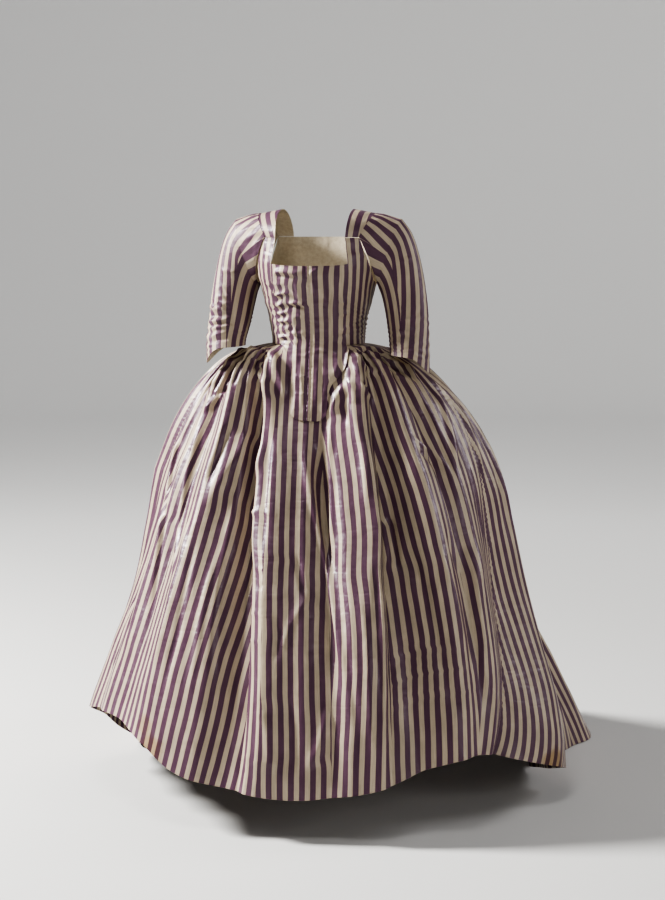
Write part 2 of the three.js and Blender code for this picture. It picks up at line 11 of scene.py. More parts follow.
import bpy
import numpy as np
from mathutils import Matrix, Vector


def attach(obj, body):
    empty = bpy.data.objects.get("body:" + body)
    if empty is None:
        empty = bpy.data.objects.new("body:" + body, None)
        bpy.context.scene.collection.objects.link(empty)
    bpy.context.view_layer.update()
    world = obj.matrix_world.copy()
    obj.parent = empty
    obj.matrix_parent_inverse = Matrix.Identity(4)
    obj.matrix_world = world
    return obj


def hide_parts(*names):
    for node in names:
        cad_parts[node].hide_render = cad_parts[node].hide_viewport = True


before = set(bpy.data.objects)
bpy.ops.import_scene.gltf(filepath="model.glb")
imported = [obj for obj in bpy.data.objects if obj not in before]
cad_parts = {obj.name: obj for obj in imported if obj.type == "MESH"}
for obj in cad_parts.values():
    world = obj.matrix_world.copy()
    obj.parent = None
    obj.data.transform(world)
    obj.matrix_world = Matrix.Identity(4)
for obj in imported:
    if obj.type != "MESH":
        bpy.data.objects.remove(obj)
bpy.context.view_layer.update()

print(len(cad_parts), "nodes")

# %% [markdown]
# ## Helpers for smooth shapes
# The shapes are worked out in millimetres for thousands of points at once. A smooth step eases
# between two values, and a smooth curve runs through the rows of a table.

# %% Smooth steps and curves
def mix(a, b, share):
    return a + (b - a) * share


def smooth(at, low=0.0, high=1.0):
    q = np.clip((at - low) / (high - low), 0.0, 1.0)
    return q * q * (3 - 2 * q)


def curve(keys, rows, at):
    keys = np.asarray(keys, float)
    rows = np.asarray(rows, float)
    if rows.ndim == 1:
        rows = np.repeat(rows[:, None], at.size, axis=1)
    last = len(keys) - 1
    after = np.minimum(np.arange(last + 1) + 1, last)
    before = np.maximum(np.arange(last + 1) - 1, 0)
    slope = (rows[after] - rows[before]) / (keys[after] - keys[before])[:, None]
    i = np.clip(np.searchsorted(keys, at) - 1, 0, last - 1)
    n = np.arange(at.size)
    span = keys[i + 1] - keys[i]
    q = np.clip((at - keys[i]) / span, 0, 1)
    lean = slope[i, n] * q * (1 - q) ** 2 - slope[i + 1, n] * q * q * (1 - q)
    return mix(rows[i, n], rows[i + 1, n], q * q * (3 - 2 * q)) + lean * span


def read(table, column, at):
    """A column of a table at values of its first column, with a smooth curve between rows."""
    return curve(table[:, 0], table[:, column], at)


def bell(gap, width):
    return np.exp(-((gap / width) ** 2))


def unit(vectors):
    length = np.linalg.norm(vectors, axis=-1, keepdims=True)
    return vectors / np.maximum(length, 1e-9)


# %% Measuring on a grid of points
def running(steps, axis):
    """The steps added up along one axis, starting from nothing."""
    start = np.zeros_like(np.take(steps, [0], axis=axis))
    return np.concatenate([start, np.cumsum(steps, axis=axis)], axis=axis)


def lengths_along(points, axis):
    return running(np.linalg.norm(np.diff(points, axis=axis), axis=2), axis)


def grid_normals(points):
    """Unit vectors that point out of a grid whose columns run to the wearer's left."""
    across = np.gradient(points, axis=1)
    down = np.gradient(points, axis=0)
    return unit(np.cross(down, across))


# %% Uneven values that repeat each run
def uneven(points, size, seed):
    """Smooth values from -1 to 1 at each point, which change over about `size` along x, y, z."""
    p = np.reshape(points, (-1, 3)) / np.asarray(size, float)
    whole = np.floor(p).astype(np.int64)
    part = p - whole
    part = part * part * (3 - 2 * part)
    total = np.zeros(len(p))
    for corner in range(8):
        step = np.array([corner & 1, corner >> 1 & 1, corner >> 2 & 1])
        x, y, z = (whole + step).T
        n = (x * 73856093 ^ y * 19349663 ^ z * 83492791 ^ seed * 26544357) & 0xFFFFFFFF
        n = ((n ^ (n >> 13)) * 1274126177) & 0xFFFFFFFF
        n = ((n ^ (n >> 15)) * 2246822519) & 0xFFFFFFFF
        share = np.where(step == 1, part, 1 - part).prod(axis=1)
        total += share * ((n >> 8 & 0xFFFF) / 32767.5 - 1)
    return total.reshape(np.shape(points)[:-1])


# %% [markdown]
# ## The skirts' form
# The skirts stand out over side pads and a false rump, so the form is given as distances from
# the body's axis at seven stations round it, one row for each drop below the waist.

# %% Plain skirt
WAIST_HEIGHT = 1017.0
TRAIN_CLEARANCE = 2.0
BACK_DIP, BACK_DIP_FROM = 24.0, 152
SEAM = 0.75
PROBE_TURN, PROBE_SHARE = 1.5, 0.004
STATIONS = [0, 35, 65, 90, 115, 140, 180]
SKIRT_SHAPE = np.array([
    # drop, front, fore, fore side, side, hind side, hind, back
    [0, 92, 95, 99, 101, 97, 88, 82],
    [4, 93, 98, 114, 128, 127, 118, 112],
    [14, 95, 103, 136, 160, 164, 166, 168],
    [40, 101, 116, 170, 212, 219, 226, 228],
    [80, 109, 131, 200, 256, 266, 276, 276],
    [135, 122, 148, 230, 298, 310, 320, 316],
    [200, 143, 172, 264, 332, 346, 358, 350],
    [300, 188, 222, 318, 366, 380, 404, 398],
    [420, 246, 286, 369, 389, 408, 462, 455],
    [560, 316, 360, 422, 419, 440, 540, 534],
    [700, 378, 424, 472, 468, 475, 640, 630],
    [800, 412, 460, 506, 508, 500, 716, 704],
    [907, 440, 492, 540, 544, 518, 800, 788],
    [1016, 458, 512, 560, 562, 532, 890, 862],
], float)
HEM_LINE = np.array([
    # azimuth from the front, height above the floor
    [-180, 2], [-140, 2], [-118, 2], [-104, 70], [-90, 152], [-75, 191], [-60, 214], [-50, 204],
    [-40, 176], [-30, 131], [-20, 109], [-8, 96], [4, 89], [16, 99], [28, 119], [40, 152],
    [52, 168], [64, 142], [82, 88], [100, 36], [118, 2], [140, 2], [180, 2],
], float)


def around(azimuth, radius, z):
    a = np.radians(azimuth)
    return np.stack([radius * np.sin(a), -radius * np.cos(a), z], axis=-1)


def plain_radius(azimuth, drop):
    turn = np.abs(np.mod(azimuth + 180, 360) - 180)
    ring = [read(SKIRT_SHAPE, 1 + k, drop) for k in range(len(STATIONS))]
    keys = [-STATIONS[1]] + STATIONS + [360 - STATIONS[-2]]
    return curve(keys, np.array([ring[1]] + ring + [ring[-2]]), turn)


def hem_height(azimuth):
    return np.maximum(read(HEM_LINE, 1, azimuth), TRAIN_CLEARANCE)


def top_drop(azimuth):
    return SEAM + BACK_DIP * smooth(np.abs(azimuth), BACK_DIP_FROM, 180)


def plain_point(azimuth, t):
    turn = np.mod(azimuth + 180, 360) - 180
    start = top_drop(turn)
    drop = mix(start, WAIST_HEIGHT - hem_height(turn), t)
    return around(azimuth, plain_radius(turn, drop - start), -drop)


def plain_normal(azimuth, t):
    across = plain_point(azimuth + PROBE_TURN, t) - plain_point(azimuth - PROBE_TURN, t)
    down = plain_point(azimuth, t + PROBE_SHARE) - plain_point(azimuth, t - PROBE_SHARE)
    return unit(np.cross(down, across))


# %% [markdown]
# ## The folds
# A fold is a line from the waist to the hem. Its row says where it runs at the waist, half way
# down and at the hem, how far it stands out there, how crisp its edge is, and how far it lies
# over its neighbour. Most hollows are also where the stripes of two neighbouring folds meet.

# %% Fold table
FRONT_FOLDS = [
    # name, azimuth at waist, middle and hem, out at waist, middle and hem, crisp, lies over
    ("right_gown_edge", -88, -86, -80, -3, -14, -6, 0.5, 0),
    ("right_hip_fold", -84, -79, -73, 5, 0, 7, 0.6, 0),
    ("right_hip_hollow", -80, -72, -66, -4, -12, -5, 0.5, 0),
    ("right_side_fold", -76, -65, -59, 7, 4, 9, 0.7, 0),
    ("right_side_hollow", -72, -57, -52, -4, -12, -3, 0.5, 0),
    ("right_broad_ridge", -66, -47, -41, 12, 24, 12, 0.2, 0),
    ("right_slope", -62, -34, -26, 2, 4, 3, 0.2, 0),
    ("right_deep_hollow", -58, -24.5, -15.5, -3, -40, -14, 0.2, 0),
    ("right_tuck", -55, -20.5, -12, 2, -34, -11, 0.5, 0),
    ("right_lip", -52, -18, -9.5, 12, 8, 4, 0.5, -2.2),
    ("panel_crest", -40, -13.6, -6.3, 5, 22, 9, 0.3, 0),
    ("panel_slope", -5, 3, 6, 0, 8, 1, 0.1, 0),
    ("panel_hollow", 11, 14, 14, 0, -18, -6, 0.6, 0),
    ("panel_ridge", 30, 24, 20, -2, 14, 5, 0.2, 0),
    ("left_lip", 52, 36, 27, 13, 23, 7, 0.5, 1.6),
    ("left_tuck", 55, 38.5, 29.5, 0, -26, -4, 0.5, 0),
    ("left_deep_hollow", 58, 42.5, 37, -4, -28, -10, 0.3, 0),
    ("left_lit_ridge", 63, 57, 48, 6, 20, 16, 0.3, 0),
    ("left_side_hollow", 69, 65, 53, -3, -10, 0, 0.5, 0),
    ("left_side_fold", 75, 72, 56.5, 7, 9, -4, 0.6, 0),
    ("left_hip_hollow", 82, 80, 60, -3, -4, -36, 0.5, 0),
    ("left_gown_edge", 89, 88, 64, -3, -8, -72, 0.5, 0),
    ("left_gown_ridge", 97, 101, 84, -20, 50, 10, 0.2, 0),
]
CENTRE_BACK = (-3, -12, -6, 0.4, 0)
PLEATS_EACH_BACK = 8
BACK_FOLDS = PLEATS_EACH_BACK * 2
BACK_OUT = (4, 15, 10)
BACK_SHIFT, BACK_DEPTH_CHANGE, BACK_FAN = 1.6, 0.35, 0.86


def back_folds(side, edge, sign):
    """Ridges and hollows behind one side's gown edge, whose azimuths at three heights are given."""
    rows = []
    waist, middle, hem = edge
    out_waist, out_middle, out_hem = BACK_OUT
    for i in range(1, BACK_FOLDS):
        share = i / BACK_FOLDS
        shift = math.sin(i * 2.3) * BACK_SHIFT
        ridge = 1 if i % 2 else -1
        depth = 1 + BACK_DEPTH_CHANGE * math.sin(i * 1.7)
        rows.append((
            f"{side}_back_fold_{i}",
            sign * mix(waist, 180, share),
            sign * (mix(middle, 180, share) + shift),
            sign * (mix(hem, 180, share ** BACK_FAN) + shift),
            ridge * out_waist, ridge * out_middle * depth, ridge * out_hem * depth,
            0.25 + 0.25 * math.sin(i * 3.1), 0,
        ))
    return rows


FIRST, LAST = FRONT_FOLDS[0], FRONT_FOLDS[-1]
FOLD_ROWS = (
    [("centre_back_start", -180, -180, -180) + CENTRE_BACK]
    + back_folds("right", (-FIRST[1], -FIRST[2], -FIRST[3]), -1)[::-1]
    + FRONT_FOLDS
    + back_folds("left", LAST[1:4], 1)
    + [("centre_back_end", 180, 180, 180) + CENTRE_BACK]
)
FOLD_NAMES = [row[0] for row in FOLD_ROWS]
FOLDS = np.array([row[1:] for row in FOLD_ROWS], float)
FIRST_FRONT, LAST_FRONT = FOLD_NAMES.index(FIRST[0]), FOLD_NAMES.index(LAST[0])
print(len(FOLDS), "fold lines round the skirts")


# %% Folded skirt
OVER_GROWS, OVER_FADES = (0.12, 0.3), (0.44, 0.55)
FLAT_AT_FRONT, FLAT_AT_SIDE = 0.26, 0.03


def through_three(values, t):
    waist, middle, hem = values[..., 0], values[..., 1], values[..., 2]
    return waist * (1 - t) * (1 - 2 * t) + middle * 4 * t * (1 - t) + hem * t * (2 * t - 1)


def skirt_point(place, t):
    """Points of the folded skirt; place counts along the fold table."""
    i = np.clip(np.floor(place).astype(int), 0, len(FOLDS) - 2)
    q = place - i
    here, after = FOLDS[i], FOLDS[i + 1]
    azimuth = mix(through_three(here[:, 0:3], t), through_three(after[:, 0:3], t), q)
    crisp = mix(here[:, 6], after[:, 6], q)
    ease = mix((1 - np.cos(np.pi * q)) / 2, q, crisp)
    out = mix(through_three(here[:, 3:6], t), through_three(after[:, 3:6], t), ease)
    over = mix(here[:, 7], after[:, 7], ease)
    azimuth_shown = azimuth + over * smooth(t, *OVER_GROWS) * (1 - smooth(t, *OVER_FADES))
    # the folds start lower down at the front, where the point lies on the skirt
    flat = mix(FLAT_AT_FRONT, FLAT_AT_SIDE, smooth(np.abs(azimuth), 24, 46))
    fade = smooth(t, 0.3 * flat, flat)
    normal = plain_normal(azimuth, t)
    normal[:, 2] *= 1 - smooth(t, 0.5, 0.95)
    return plain_point(azimuth_shown, t) + unit(normal) * (out * fade)[:, None]


def fold_place(azimuth, t):
    lines = through_three(FOLDS[None, :, 0:3], t[:, None])
    i = np.clip((lines < azimuth[:, None]).sum(axis=1) - 1, 0, len(FOLDS) - 2)
    n = np.arange(len(t))
    return i + (azimuth - lines[n, i]) / (lines[n, i + 1] - lines[n, i])


# %% [markdown]
# ## Laying the skirts out
# One fine grid goes all round the skirts and from the waist seam to the hem. The rows lie closer
# together at the waist, where the pleats are small.

# %% Skirt grid
CELL, COARSER_BEHIND = 5.2, 1.5
ROWS = 168
row_share = np.linspace(0, 1, ROWS)
T_ROWS = 0.42 * row_share ** 2 + 0.58 * row_share


def columns_of(fold):
    """How many cells wide a fold is, for even cells where it is broadest."""
    places = np.array([fold + 0.001, fold + 0.999])
    broadest = 0.0
    for t in (0.3, 0.6, 1.0):
        ends = skirt_point(places, np.array([t, t]))
        broadest = max(broadest, float(np.linalg.norm(ends[1] - ends[0])))
    cell = CELL if FIRST_FRONT <= fold < LAST_FRONT else CELL * COARSER_BEHIND
    return max(6, int(round(broadest / cell)))


place_list = []
first_column = []
for fold in range(len(FOLDS) - 1):
    first_column.append(len(place_list))
    count = columns_of(fold)
    place_list += [fold + k / count for k in range(count)]
first_column.append(len(place_list))
place_list.append(float(len(FOLDS) - 1))
PLACES = np.array(place_list)
COLUMN_OF = dict(zip(FOLD_NAMES, first_column))
grid_place = np.repeat(PLACES[None, :], ROWS, axis=0)
grid_t = np.repeat(T_ROWS[:, None], len(PLACES), axis=1)
skirt = skirt_point(grid_place.ravel(), grid_t.ravel()).reshape(ROWS, -1, 3)
print("skirt grid", skirt.shape)

# %% [markdown]
# ## Creases placed one by one
# Every crease is a line of points on the skirt, given as azimuth and drop below the waist, with
# its height (a trough is negative), its width, and how much wider it is on its left side.

# %% Crease tool
def distance_to_path(points, path):
    """Nearest distance to a line of points, how far along it, and the side it lies on."""
    best = np.full(len(points), 1e9)
    along = np.zeros(len(points))
    side = np.ones(len(points))
    lengths = np.linalg.norm(np.diff(path, axis=0), axis=1)
    total = lengths.sum()
    covered = 0.0
    for a, b, length in zip(path[:-1], path[1:], lengths):
        line = (b - a) / max(length, 1e-6)
        reach = np.clip((points - a) @ line, 0, length)
        offset = points - (a + reach[:, None] * line)
        distance = np.linalg.norm(offset, axis=1)
        nearer = distance < best
        outward = unit(np.array([a[0] + b[0], a[1] + b[1], 0.0]) + 1e-6)
        across = np.cross(outward, line)
        best = np.where(nearer, distance, best)
        along = np.where(nearer, (covered + reach) / total, along)
        side = np.where(nearer, np.sign(offset @ across), side)
        covered += length
    return best, along, side


def on_skirt(azimuth, drop):
    t = np.clip((drop - SEAM) / (WAIST_HEIGHT - hem_height(azimuth) - SEAM), 0, 1)
    return skirt_point(fold_place(azimuth, t), t)


def crease_heights(points, creases, surface):
    """The height of a table of creases at each point; surface gives points for their paths."""
    flat = points.reshape(-1, 3)
    total = np.zeros(len(flat))
    for line, height, width, *lean in creases:
        line = np.array(line, float)
        steps = np.linspace(0, len(line) - 1, 6 * (len(line) - 1) + 1)
        keys = np.arange(len(line))
        path = surface(np.interp(steps, keys, line[:, 0]), np.interp(steps, keys, line[:, 1]))
        low, high = path.min(axis=0) - width * 3.5, path.max(axis=0) + width * 3.5
        where = np.nonzero(np.all((flat > low) & (flat < high), axis=1))[0]
        if not len(where):
            continue
        distance, along, side = distance_to_path(flat[where], path)
        ends = smooth(along, 0, 0.22) * (1 - smooth(along, 0.72, 1))
        total[where] += height * bell(distance, width * (1 + sum(lean) * side)) * ends
    return total.reshape(points.shape[:-1])


# %% Skirt creases
SKIRT_CREASES = [
    # (azimuth, drop) along the crease, height, width, lean if it has one
    # front panel
    ([(-4.5, 205), (1.5, 265), (8.5, 370), (15, 485), (17, 570), (19, 720)], 10, 9, 0.3),
    ([(9.5, 205), (10, 265), (12.5, 375), (16.5, 475)], -8, 9),
    ([(21.5, 150), (20, 225), (18.5, 330), (16.5, 450)], 8, 7),
    ([(-2.5, 640), (0.5, 580), (4, 545), (7.5, 520)], 3, 6),
    ([(0, 440), (3, 485), (6, 530)], -5, 7),
    ([(-6, 560), (-3, 600), (-4, 660)], -4, 8),
    ([(-30, 185), (-24, 270), (-18, 375), (-13.5, 465)], -6, 8),
    ([(39, 105), (40.5, 180), (39.5, 240), (34, 365)], 6, 10),
    ([(23, 90), (25.5, 120), (26.5, 155)], 5, 10),
    # puffs on the right of the point, lines that spread from the waist on its left
    ([(-56.5, 55), (-60.5, 30), (-60, 15), (-51, 10)], 7, 9),
    ([(-53.5, 60), (-55.5, 35), (-47, 25)], -5, 7),
    ([(-44, 18), (-38, 50), (-29.5, 85), (-22, 125)], 9, 10),
    ([(-49, 18), (-42.5, 60), (-35, 95), (-28.5, 130)], -4, 7),
    ([(-55, 45), (-43, 85), (-37, 125)], 6, 8),
    ([(50, 9), (64.5, 8), (83, 14)], 7, 6),
    ([(49, 14), (61, 19), (72, 32)], 7, 6),
    ([(54, 13), (66, 14), (80, 24)], -6, 5),
    ([(49, 22), (52.5, 40), (57, 65)], 6, 6),
    ([(60, 30), (68, 48), (74, 80)], 6, 6),
    ([(66, 28), (76, 44), (84, 72)], 6, 6),
    ([(63, 34), (72, 56), (79, 84)], -6, 5),
    ([(-66, 12), (-76, 16), (-90, 30)], 7, 6),
    ([(-64, 18), (-70, 32), (-78, 60)], 6, 6),
    ([(-62, 26), (-66, 50), (-69, 84)], -5, 5),
    ([(47, 35), (47.5, 60), (48.5, 95), (52, 125)], 6, 6),
    ([(45.5, 60), (48, 80), (52, 110)], -5, 5),
    ([(50.5, 20), (58.5, 45), (61.5, 70)], -4, 5),
    ([(41, 70), (41.5, 100), (42, 135)], 6, 7),
    ([(36.5, 80), (30, 110), (21.5, 150)], 7, 8),
    ([(37.5, 90), (35, 135), (31.5, 180)], -6, 7),
    ([(-83, 20), (-74, 45), (-72, 80)], 5, 7),
    ([(-63.5, 30), (-60.5, 60), (-59.5, 100)], -5, 6),
    ([(-82, 100), (-70.5, 110), (-59.5, 115)], 2, 4),
    ([(-7, 735), (-4.5, 785), (-2, 870)], 4, 9),
    ([(7.5, 870), (10.5, 825), (12, 780), (13.5, 730)], 7, 9),
    ([(0.5, 710), (3.5, 785), (4.5, 890)], -6, 12),
    ([(26.5, 510), (26.5, 605), (25.5, 720), (25.5, 840)], 4, 8),
    ([(20.5, 610), (21, 705), (21.5, 795)], -4, 8),
    ([(-11, 840), (-6.5, 855), (-1.5, 850), (3, 850)], 1.6, 5),
    ([(-11, 870), (-7, 885), (-2, 880)], -1.4, 4),
    # the lip on the right, and the kink half way down it
    ([(-31.5, 205), (-29, 270), (-27, 340), (-23, 400), (-19, 450)], 6, 8),
    ([(-18.5, 450), (-15.5, 535), (-13, 610), (-11, 730), (-10.5, 850)], 4, 7),
    ([(-27, 345), (-24, 358), (-20, 370)], 4, 5),
    # right side of the skirt
    ([(-53, 170), (-52, 205), (-51, 240), (-50.5, 275), (-50, 315)], -9, 10),
    ([(-44.5, 185), (-44.5, 235), (-45.5, 270), (-46, 310), (-46.5, 365)], 8, 15),
    ([(-32, 400), (-29.5, 485), (-28, 540), (-24, 640), (-21.5, 735)], -5, 12),
    ([(-36, 440), (-33.5, 540), (-30.5, 645), (-28.5, 760)], 4, 9),
    ([(-79.5, 130), (-79.5, 185), (-79.5, 245), (-74.5, 330), (-64, 410), (-56.5, 555)], 5, 7),
    ([(-70, 135), (-67.5, 215), (-63, 300), (-56.5, 410), (-45, 545)], 5, 7),
    ([(-81.5, 140), (-80, 210), (-76, 290), (-64, 390), (-56, 540), (-50.5, 685)], -5, 7),
    ([(-74, 150), (-71.5, 250), (-66, 350), (-60, 450)], -4, 6),
    ([(-55, 340), (-47.5, 465), (-44, 585), (-42, 730)], 4, 9),
    ([(-46, 395), (-42, 505), (-38, 620), (-37, 770)], -4, 8),
    ([(-72, 560), (-68, 640), (-64, 740)], 5, 9),
    ([(-66, 520), (-62, 620), (-58, 740)], -4, 8),
    # left side of the skirt
    ([(34, 450), (32.5, 500), (29.5, 620), (29, 765)], -5, 8),
    ([(44.5, 350), (43.5, 415), (42, 465)], -10, 9),
    ([(62, 195), (69.5, 225), (72, 260), (72, 310)], 5, 5),
    ([(63, 222), (67.5, 245), (70, 280)], -4, 5),
    ([(48.5, 400), (48.5, 509), (47.8, 594), (48, 690), (49, 780)], -9, 15),
    ([(74, 420), (68, 510), (64, 600), (61.5, 690), (59, 790)], 9, 17),
    ([(56, 420), (57, 520), (55, 640)], 4, 8),
    ([(62, 380), (63, 480), (60, 600), (55, 720)], -4, 9),
    ([(70, 400), (68, 500), (64, 620), (58, 720)], 4, 9),
    ([(46, 610), (50, 625), (54, 636)], 2.4, 5),
    ([(45, 652), (50, 668), (55, 678)], 2.2, 5),
    ([(46, 700), (50, 712), (55, 724)], 2.0, 5),
    # left hip, where the gown is pleated in
    ([(88, 60), (93, 113), (94, 173), (93, 251), (92, 340)], 6, 9),
    ([(84.5, 95), (83.5, 144), (80.4, 204), (75.4, 275)], 8, 9),
    ([(73.5, 115), (73.2, 176), (73.6, 230), (73.1, 295)], -6, 9),
    ([(97, 105), (99, 195), (99, 300), (98, 390), (97, 490)], -5, 8),
    ([(86, 250), (85, 320), (83, 395), (80, 470)], 4, 7),
    ([(104, 110), (103, 220), (101, 340), (100, 470)], 5, 8),
    ([(108, 120), (107, 240), (106, 380), (105, 520)], -5, 8),
    ([(-74, 52), (-74, 92), (-79, 128)], 6, 7),
    ([(-62, 76), (-69, 108), (-71, 138)], -5, 6),
    ([(-67, 100), (-70, 126), (-71, 158)], 6, 7),
    # short wrinkles across the lip
    ([(-22, 350), (-18.5, 364), (-15, 370)], 2.6, 4),
    ([(-17, 468), (-14, 480), (-11.5, 477)], 2.2, 4),
    ([(-16, 503), (-13, 512), (-10.5, 507)], -2.2, 3.5),
    ([(-15, 556), (-12.5, 566), (-10, 561)], 2.0, 4),
    ([(-14, 610), (-11.5, 618), (-9, 615)], 1.6, 4),
    # gown on the right hip
    ([(-97, 95), (-96, 190), (-94, 300), (-95, 420)], 5, 7),
    ([(-102, 100), (-101, 230), (-99, 360), (-101, 520)], -5, 7),
    ([(-110, 420), (-112, 560), (-115, 720), (-120, 880)], 6, 13),
    ([(-121, 300), (-124, 460), (-128, 640), (-132, 820)], -6, 12),
    # back and train
    ([(-138, 260), (-141, 420), (-143, 600), (-146, 800), (-149, 960)], 6, 13, 0.2),
    ([(-152, 380), (-154, 540), (-157, 700)], -6, 11),
    ([(-168, 240), (-167, 400), (-169, 580), (-170, 760)], 6, 11),
    ([(172, 330), (171, 480), (172, 660), (170, 860)], -6, 12),
    ([(158, 240), (156, 400), (157, 560)], 6, 10, 0.2),
    ([(146, 420), (144, 580), (140, 760), (137, 930)], 6, 13),
    ([(131, 300), (128, 460), (124, 640), (120, 800)], -6, 12),
    ([(116, 420), (113, 560), (108, 700), (104, 850)], 5, 12),
    ([(-164, 820), (-158, 850), (-150, 862)], 4, 9),
    ([(150, 850), (158, 868), (167, 860)], 4, 9),
    ([(168, 925), (173, 932), (178, 928)], 3, 8),
]

# %% [markdown]
# ## Small movement of the cloth
# Taffeta is crisp: between the big folds it dents and ripples, and it puckers where the gown's
# edge is stitched down. Near the waist the cloth is gathered into narrow pleats.

# %% Move the skirt grid
SMALL_PLEAT, HANG, DENT, PUCKER = 3.4, 3.2, 1.5, 1.7
PUCKER_SPACING, PUCKER_REACH = 10.5, 13
POINT_DEPTH = 165.0
POINT_EDGE = np.array([
    # drop, reach of the bodice's point to the left of the centre front, reach to the right
    [0, 71, 71], [8, 80, 62], [22, 90, 53], [48, 86, 46], [70, 68, 43], [90, 50, 42],
    [115, 44, 41], [165, 41, 39],
], float)
drop = -skirt[..., 2]
azimuth = np.degrees(np.arctan2(skirt[..., 0], -skirt[..., 1]))

pleat_length = 0.16 + 0.07 * np.sin(grid_place * 2.7) + 0.05 * np.sin(grid_place * 6.1 + 1)
small_pleats = (
    SMALL_PLEAT * np.sin(2 * np.pi * grid_place * 1.5 + 0.8 * np.sin(grid_place * 3.3))
    * smooth(np.abs(azimuth), 46, 60) * smooth(grid_t, 0.004, 0.03)
    * (1 - smooth(grid_t, 0.35 * pleat_length, pleat_length))
)
hang = HANG * uneven(skirt, (95, 95, 420), 3) * smooth(drop, 60, 400)
dents = DENT * (0.5 - np.abs(uneven(skirt, (42, 42, 95), 5))) * smooth(drop, 40, 200)

from_start = lengths_along(skirt, 1)
wave = np.sin(2 * np.pi * drop / PUCKER_SPACING + 2.2 * uneven(skirt, (60, 60, 35), 9))
puckers = np.zeros(drop.shape)
for edge in ("left_gown_edge", "right_gown_edge"):
    away = from_start - from_start[:, COLUMN_OF[edge]][:, None]
    puckers += PUCKER * wave * bell(away, PUCKER_REACH) * smooth(drop, 60, 160)

left_reach = np.interp(drop, POINT_EDGE[:, 0], POINT_EDGE[:, 1])
right_reach = np.interp(drop, POINT_EDGE[:, 0], POINT_EDGE[:, 2])
beside = np.maximum(skirt[..., 0] - left_reach, -skirt[..., 0] - right_reach)
below = smooth(drop, POINT_DEPTH + 1, POINT_DEPTH + 16)
under_point = np.where(skirt[..., 1] < 0, (1 - below) * (1 - smooth(beside, 1, 14)), 0)
creases = crease_heights(skirt, SKIRT_CREASES, on_skirt)
moved = small_pleats + hang + dents + puckers + creases
moved = moved * (1 - under_point) * smooth(grid_t, 0, 0.01)
skirt_shown = skirt + grid_normals(skirt) * moved[..., None]
skirt_shown[..., 2] = np.maximum(skirt_shown[..., 2], -(WAIST_HEIGHT - TRAIN_CLEARANCE))
print("cloth moved by", round(float(moved.min()), 1), "to", round(float(moved.max()), 1), "mm")

# %% [markdown]
# ## Where the stripes run
# The silk is woven with its stripes along the length. Each run of stripes goes parallel to one
# fold line. It ends in a hollow, a tuck or a seam, except where two runs meet on the front
# panel's crest. At the hem the cloth is all there, so the stripes count on from one run to the
# next without a break.

# %% Stripe places on the skirt
STRIPE_REPEAT = 22.9
STRIPE_PHASE = -0.1
BROAD_SWAY, FINE_SWAY = 1.7, 0.8
STRIPS = [
    # where a run of stripes starts, the fold line it follows, where it ends
    ("right_gown_edge", "right_hip_fold", "right_hip_hollow"),
    ("right_hip_hollow", "right_side_fold", "right_side_hollow"),
    ("right_side_hollow", "right_broad_ridge", "right_tuck"),
    ("right_tuck", "right_lip", "panel_crest"),
    ("panel_crest", "panel_slope", "panel_hollow"),
    ("panel_hollow", "left_lip", "left_tuck"),
    ("left_tuck", "left_lit_ridge", "left_side_hollow"),
    ("left_side_hollow", "left_side_fold", "left_hip_hollow"),
    ("left_hip_hollow", "left_hip_hollow", "left_gown_edge"),
    ("left_gown_edge", "left_gown_ridge", "left_back_fold_2"),
]
for i in range(2, BACK_FOLDS, 2):
    last = i + 2 == BACK_FOLDS
    after = "centre_back_end" if last else f"left_back_fold_{i + 2}"
    STRIPS.append((f"left_back_fold_{i}", f"left_back_fold_{i + 1}", after))
    before = "centre_back_start" if last else f"right_back_fold_{i + 2}"
    STRIPS.append((before, f"right_back_fold_{i + 1}", f"right_back_fold_{i}"))
STRIPS.append(("right_back_fold_2", "right_back_fold_1", "right_gown_edge"))

across_step = np.diff(skirt_shown, axis=1)
down_way = unit(np.gradient(skirt_shown, axis=0))
down_way = unit(down_way[:, :-1] + down_way[:, 1:])
travelled = running(np.linalg.norm(np.cross(across_step, down_way), axis=2), 1)
zero = travelled[-1, COLUMN_OF["panel_slope"]]
stripe_left = np.zeros((ROWS, len(PLACES) - 1))
stripe_right = np.zeros_like(stripe_left)
for start, ridge, end in STRIPS:
    a, k, b = COLUMN_OF[start], COLUMN_OF[ridge], COLUMN_OF[end]
    anchor = travelled[-1, k] - zero
    count = anchor + travelled - travelled[:, k:k + 1]
    stripe_left[:, a:b] = count[:, a:b]
    stripe_right[:, a:b] = count[:, a + 1:b + 1]
sway = BROAD_SWAY * uneven(skirt_shown, (70, 70, 210), 91)
sway += FINE_SWAY * uneven(skirt_shown, (30, 30, 60), 92)
stripe_left = (stripe_left + sway[:, :-1]) / STRIPE_REPEAT + STRIPE_PHASE
stripe_right = (stripe_right + sway[:, 1:]) / STRIPE_REPEAT + STRIPE_PHASE
print("stripes at the hem", round(float(stripe_right[-1].max() - stripe_left[-1].min())))

# %% [markdown]
# ## Making a shell of cloth
# A grid of points becomes one closed thin shell: the outer face, the inner face a cloth's
# thickness behind it, and the four edges. Sharp edges round the rim keep the faces' shading
# apart. The UV map counts stripe repeats across the cloth and the same unit down it.

# %% Shell maker
CLOTH = 0.45
PIECES, CUTS = {}, {}


def into_scene(name, data):
    """An object of that name for a mesh, a light or a camera."""
    thing = bpy.data.objects.new(name, data)
    bpy.context.scene.collection.objects.link(thing)
    return thing


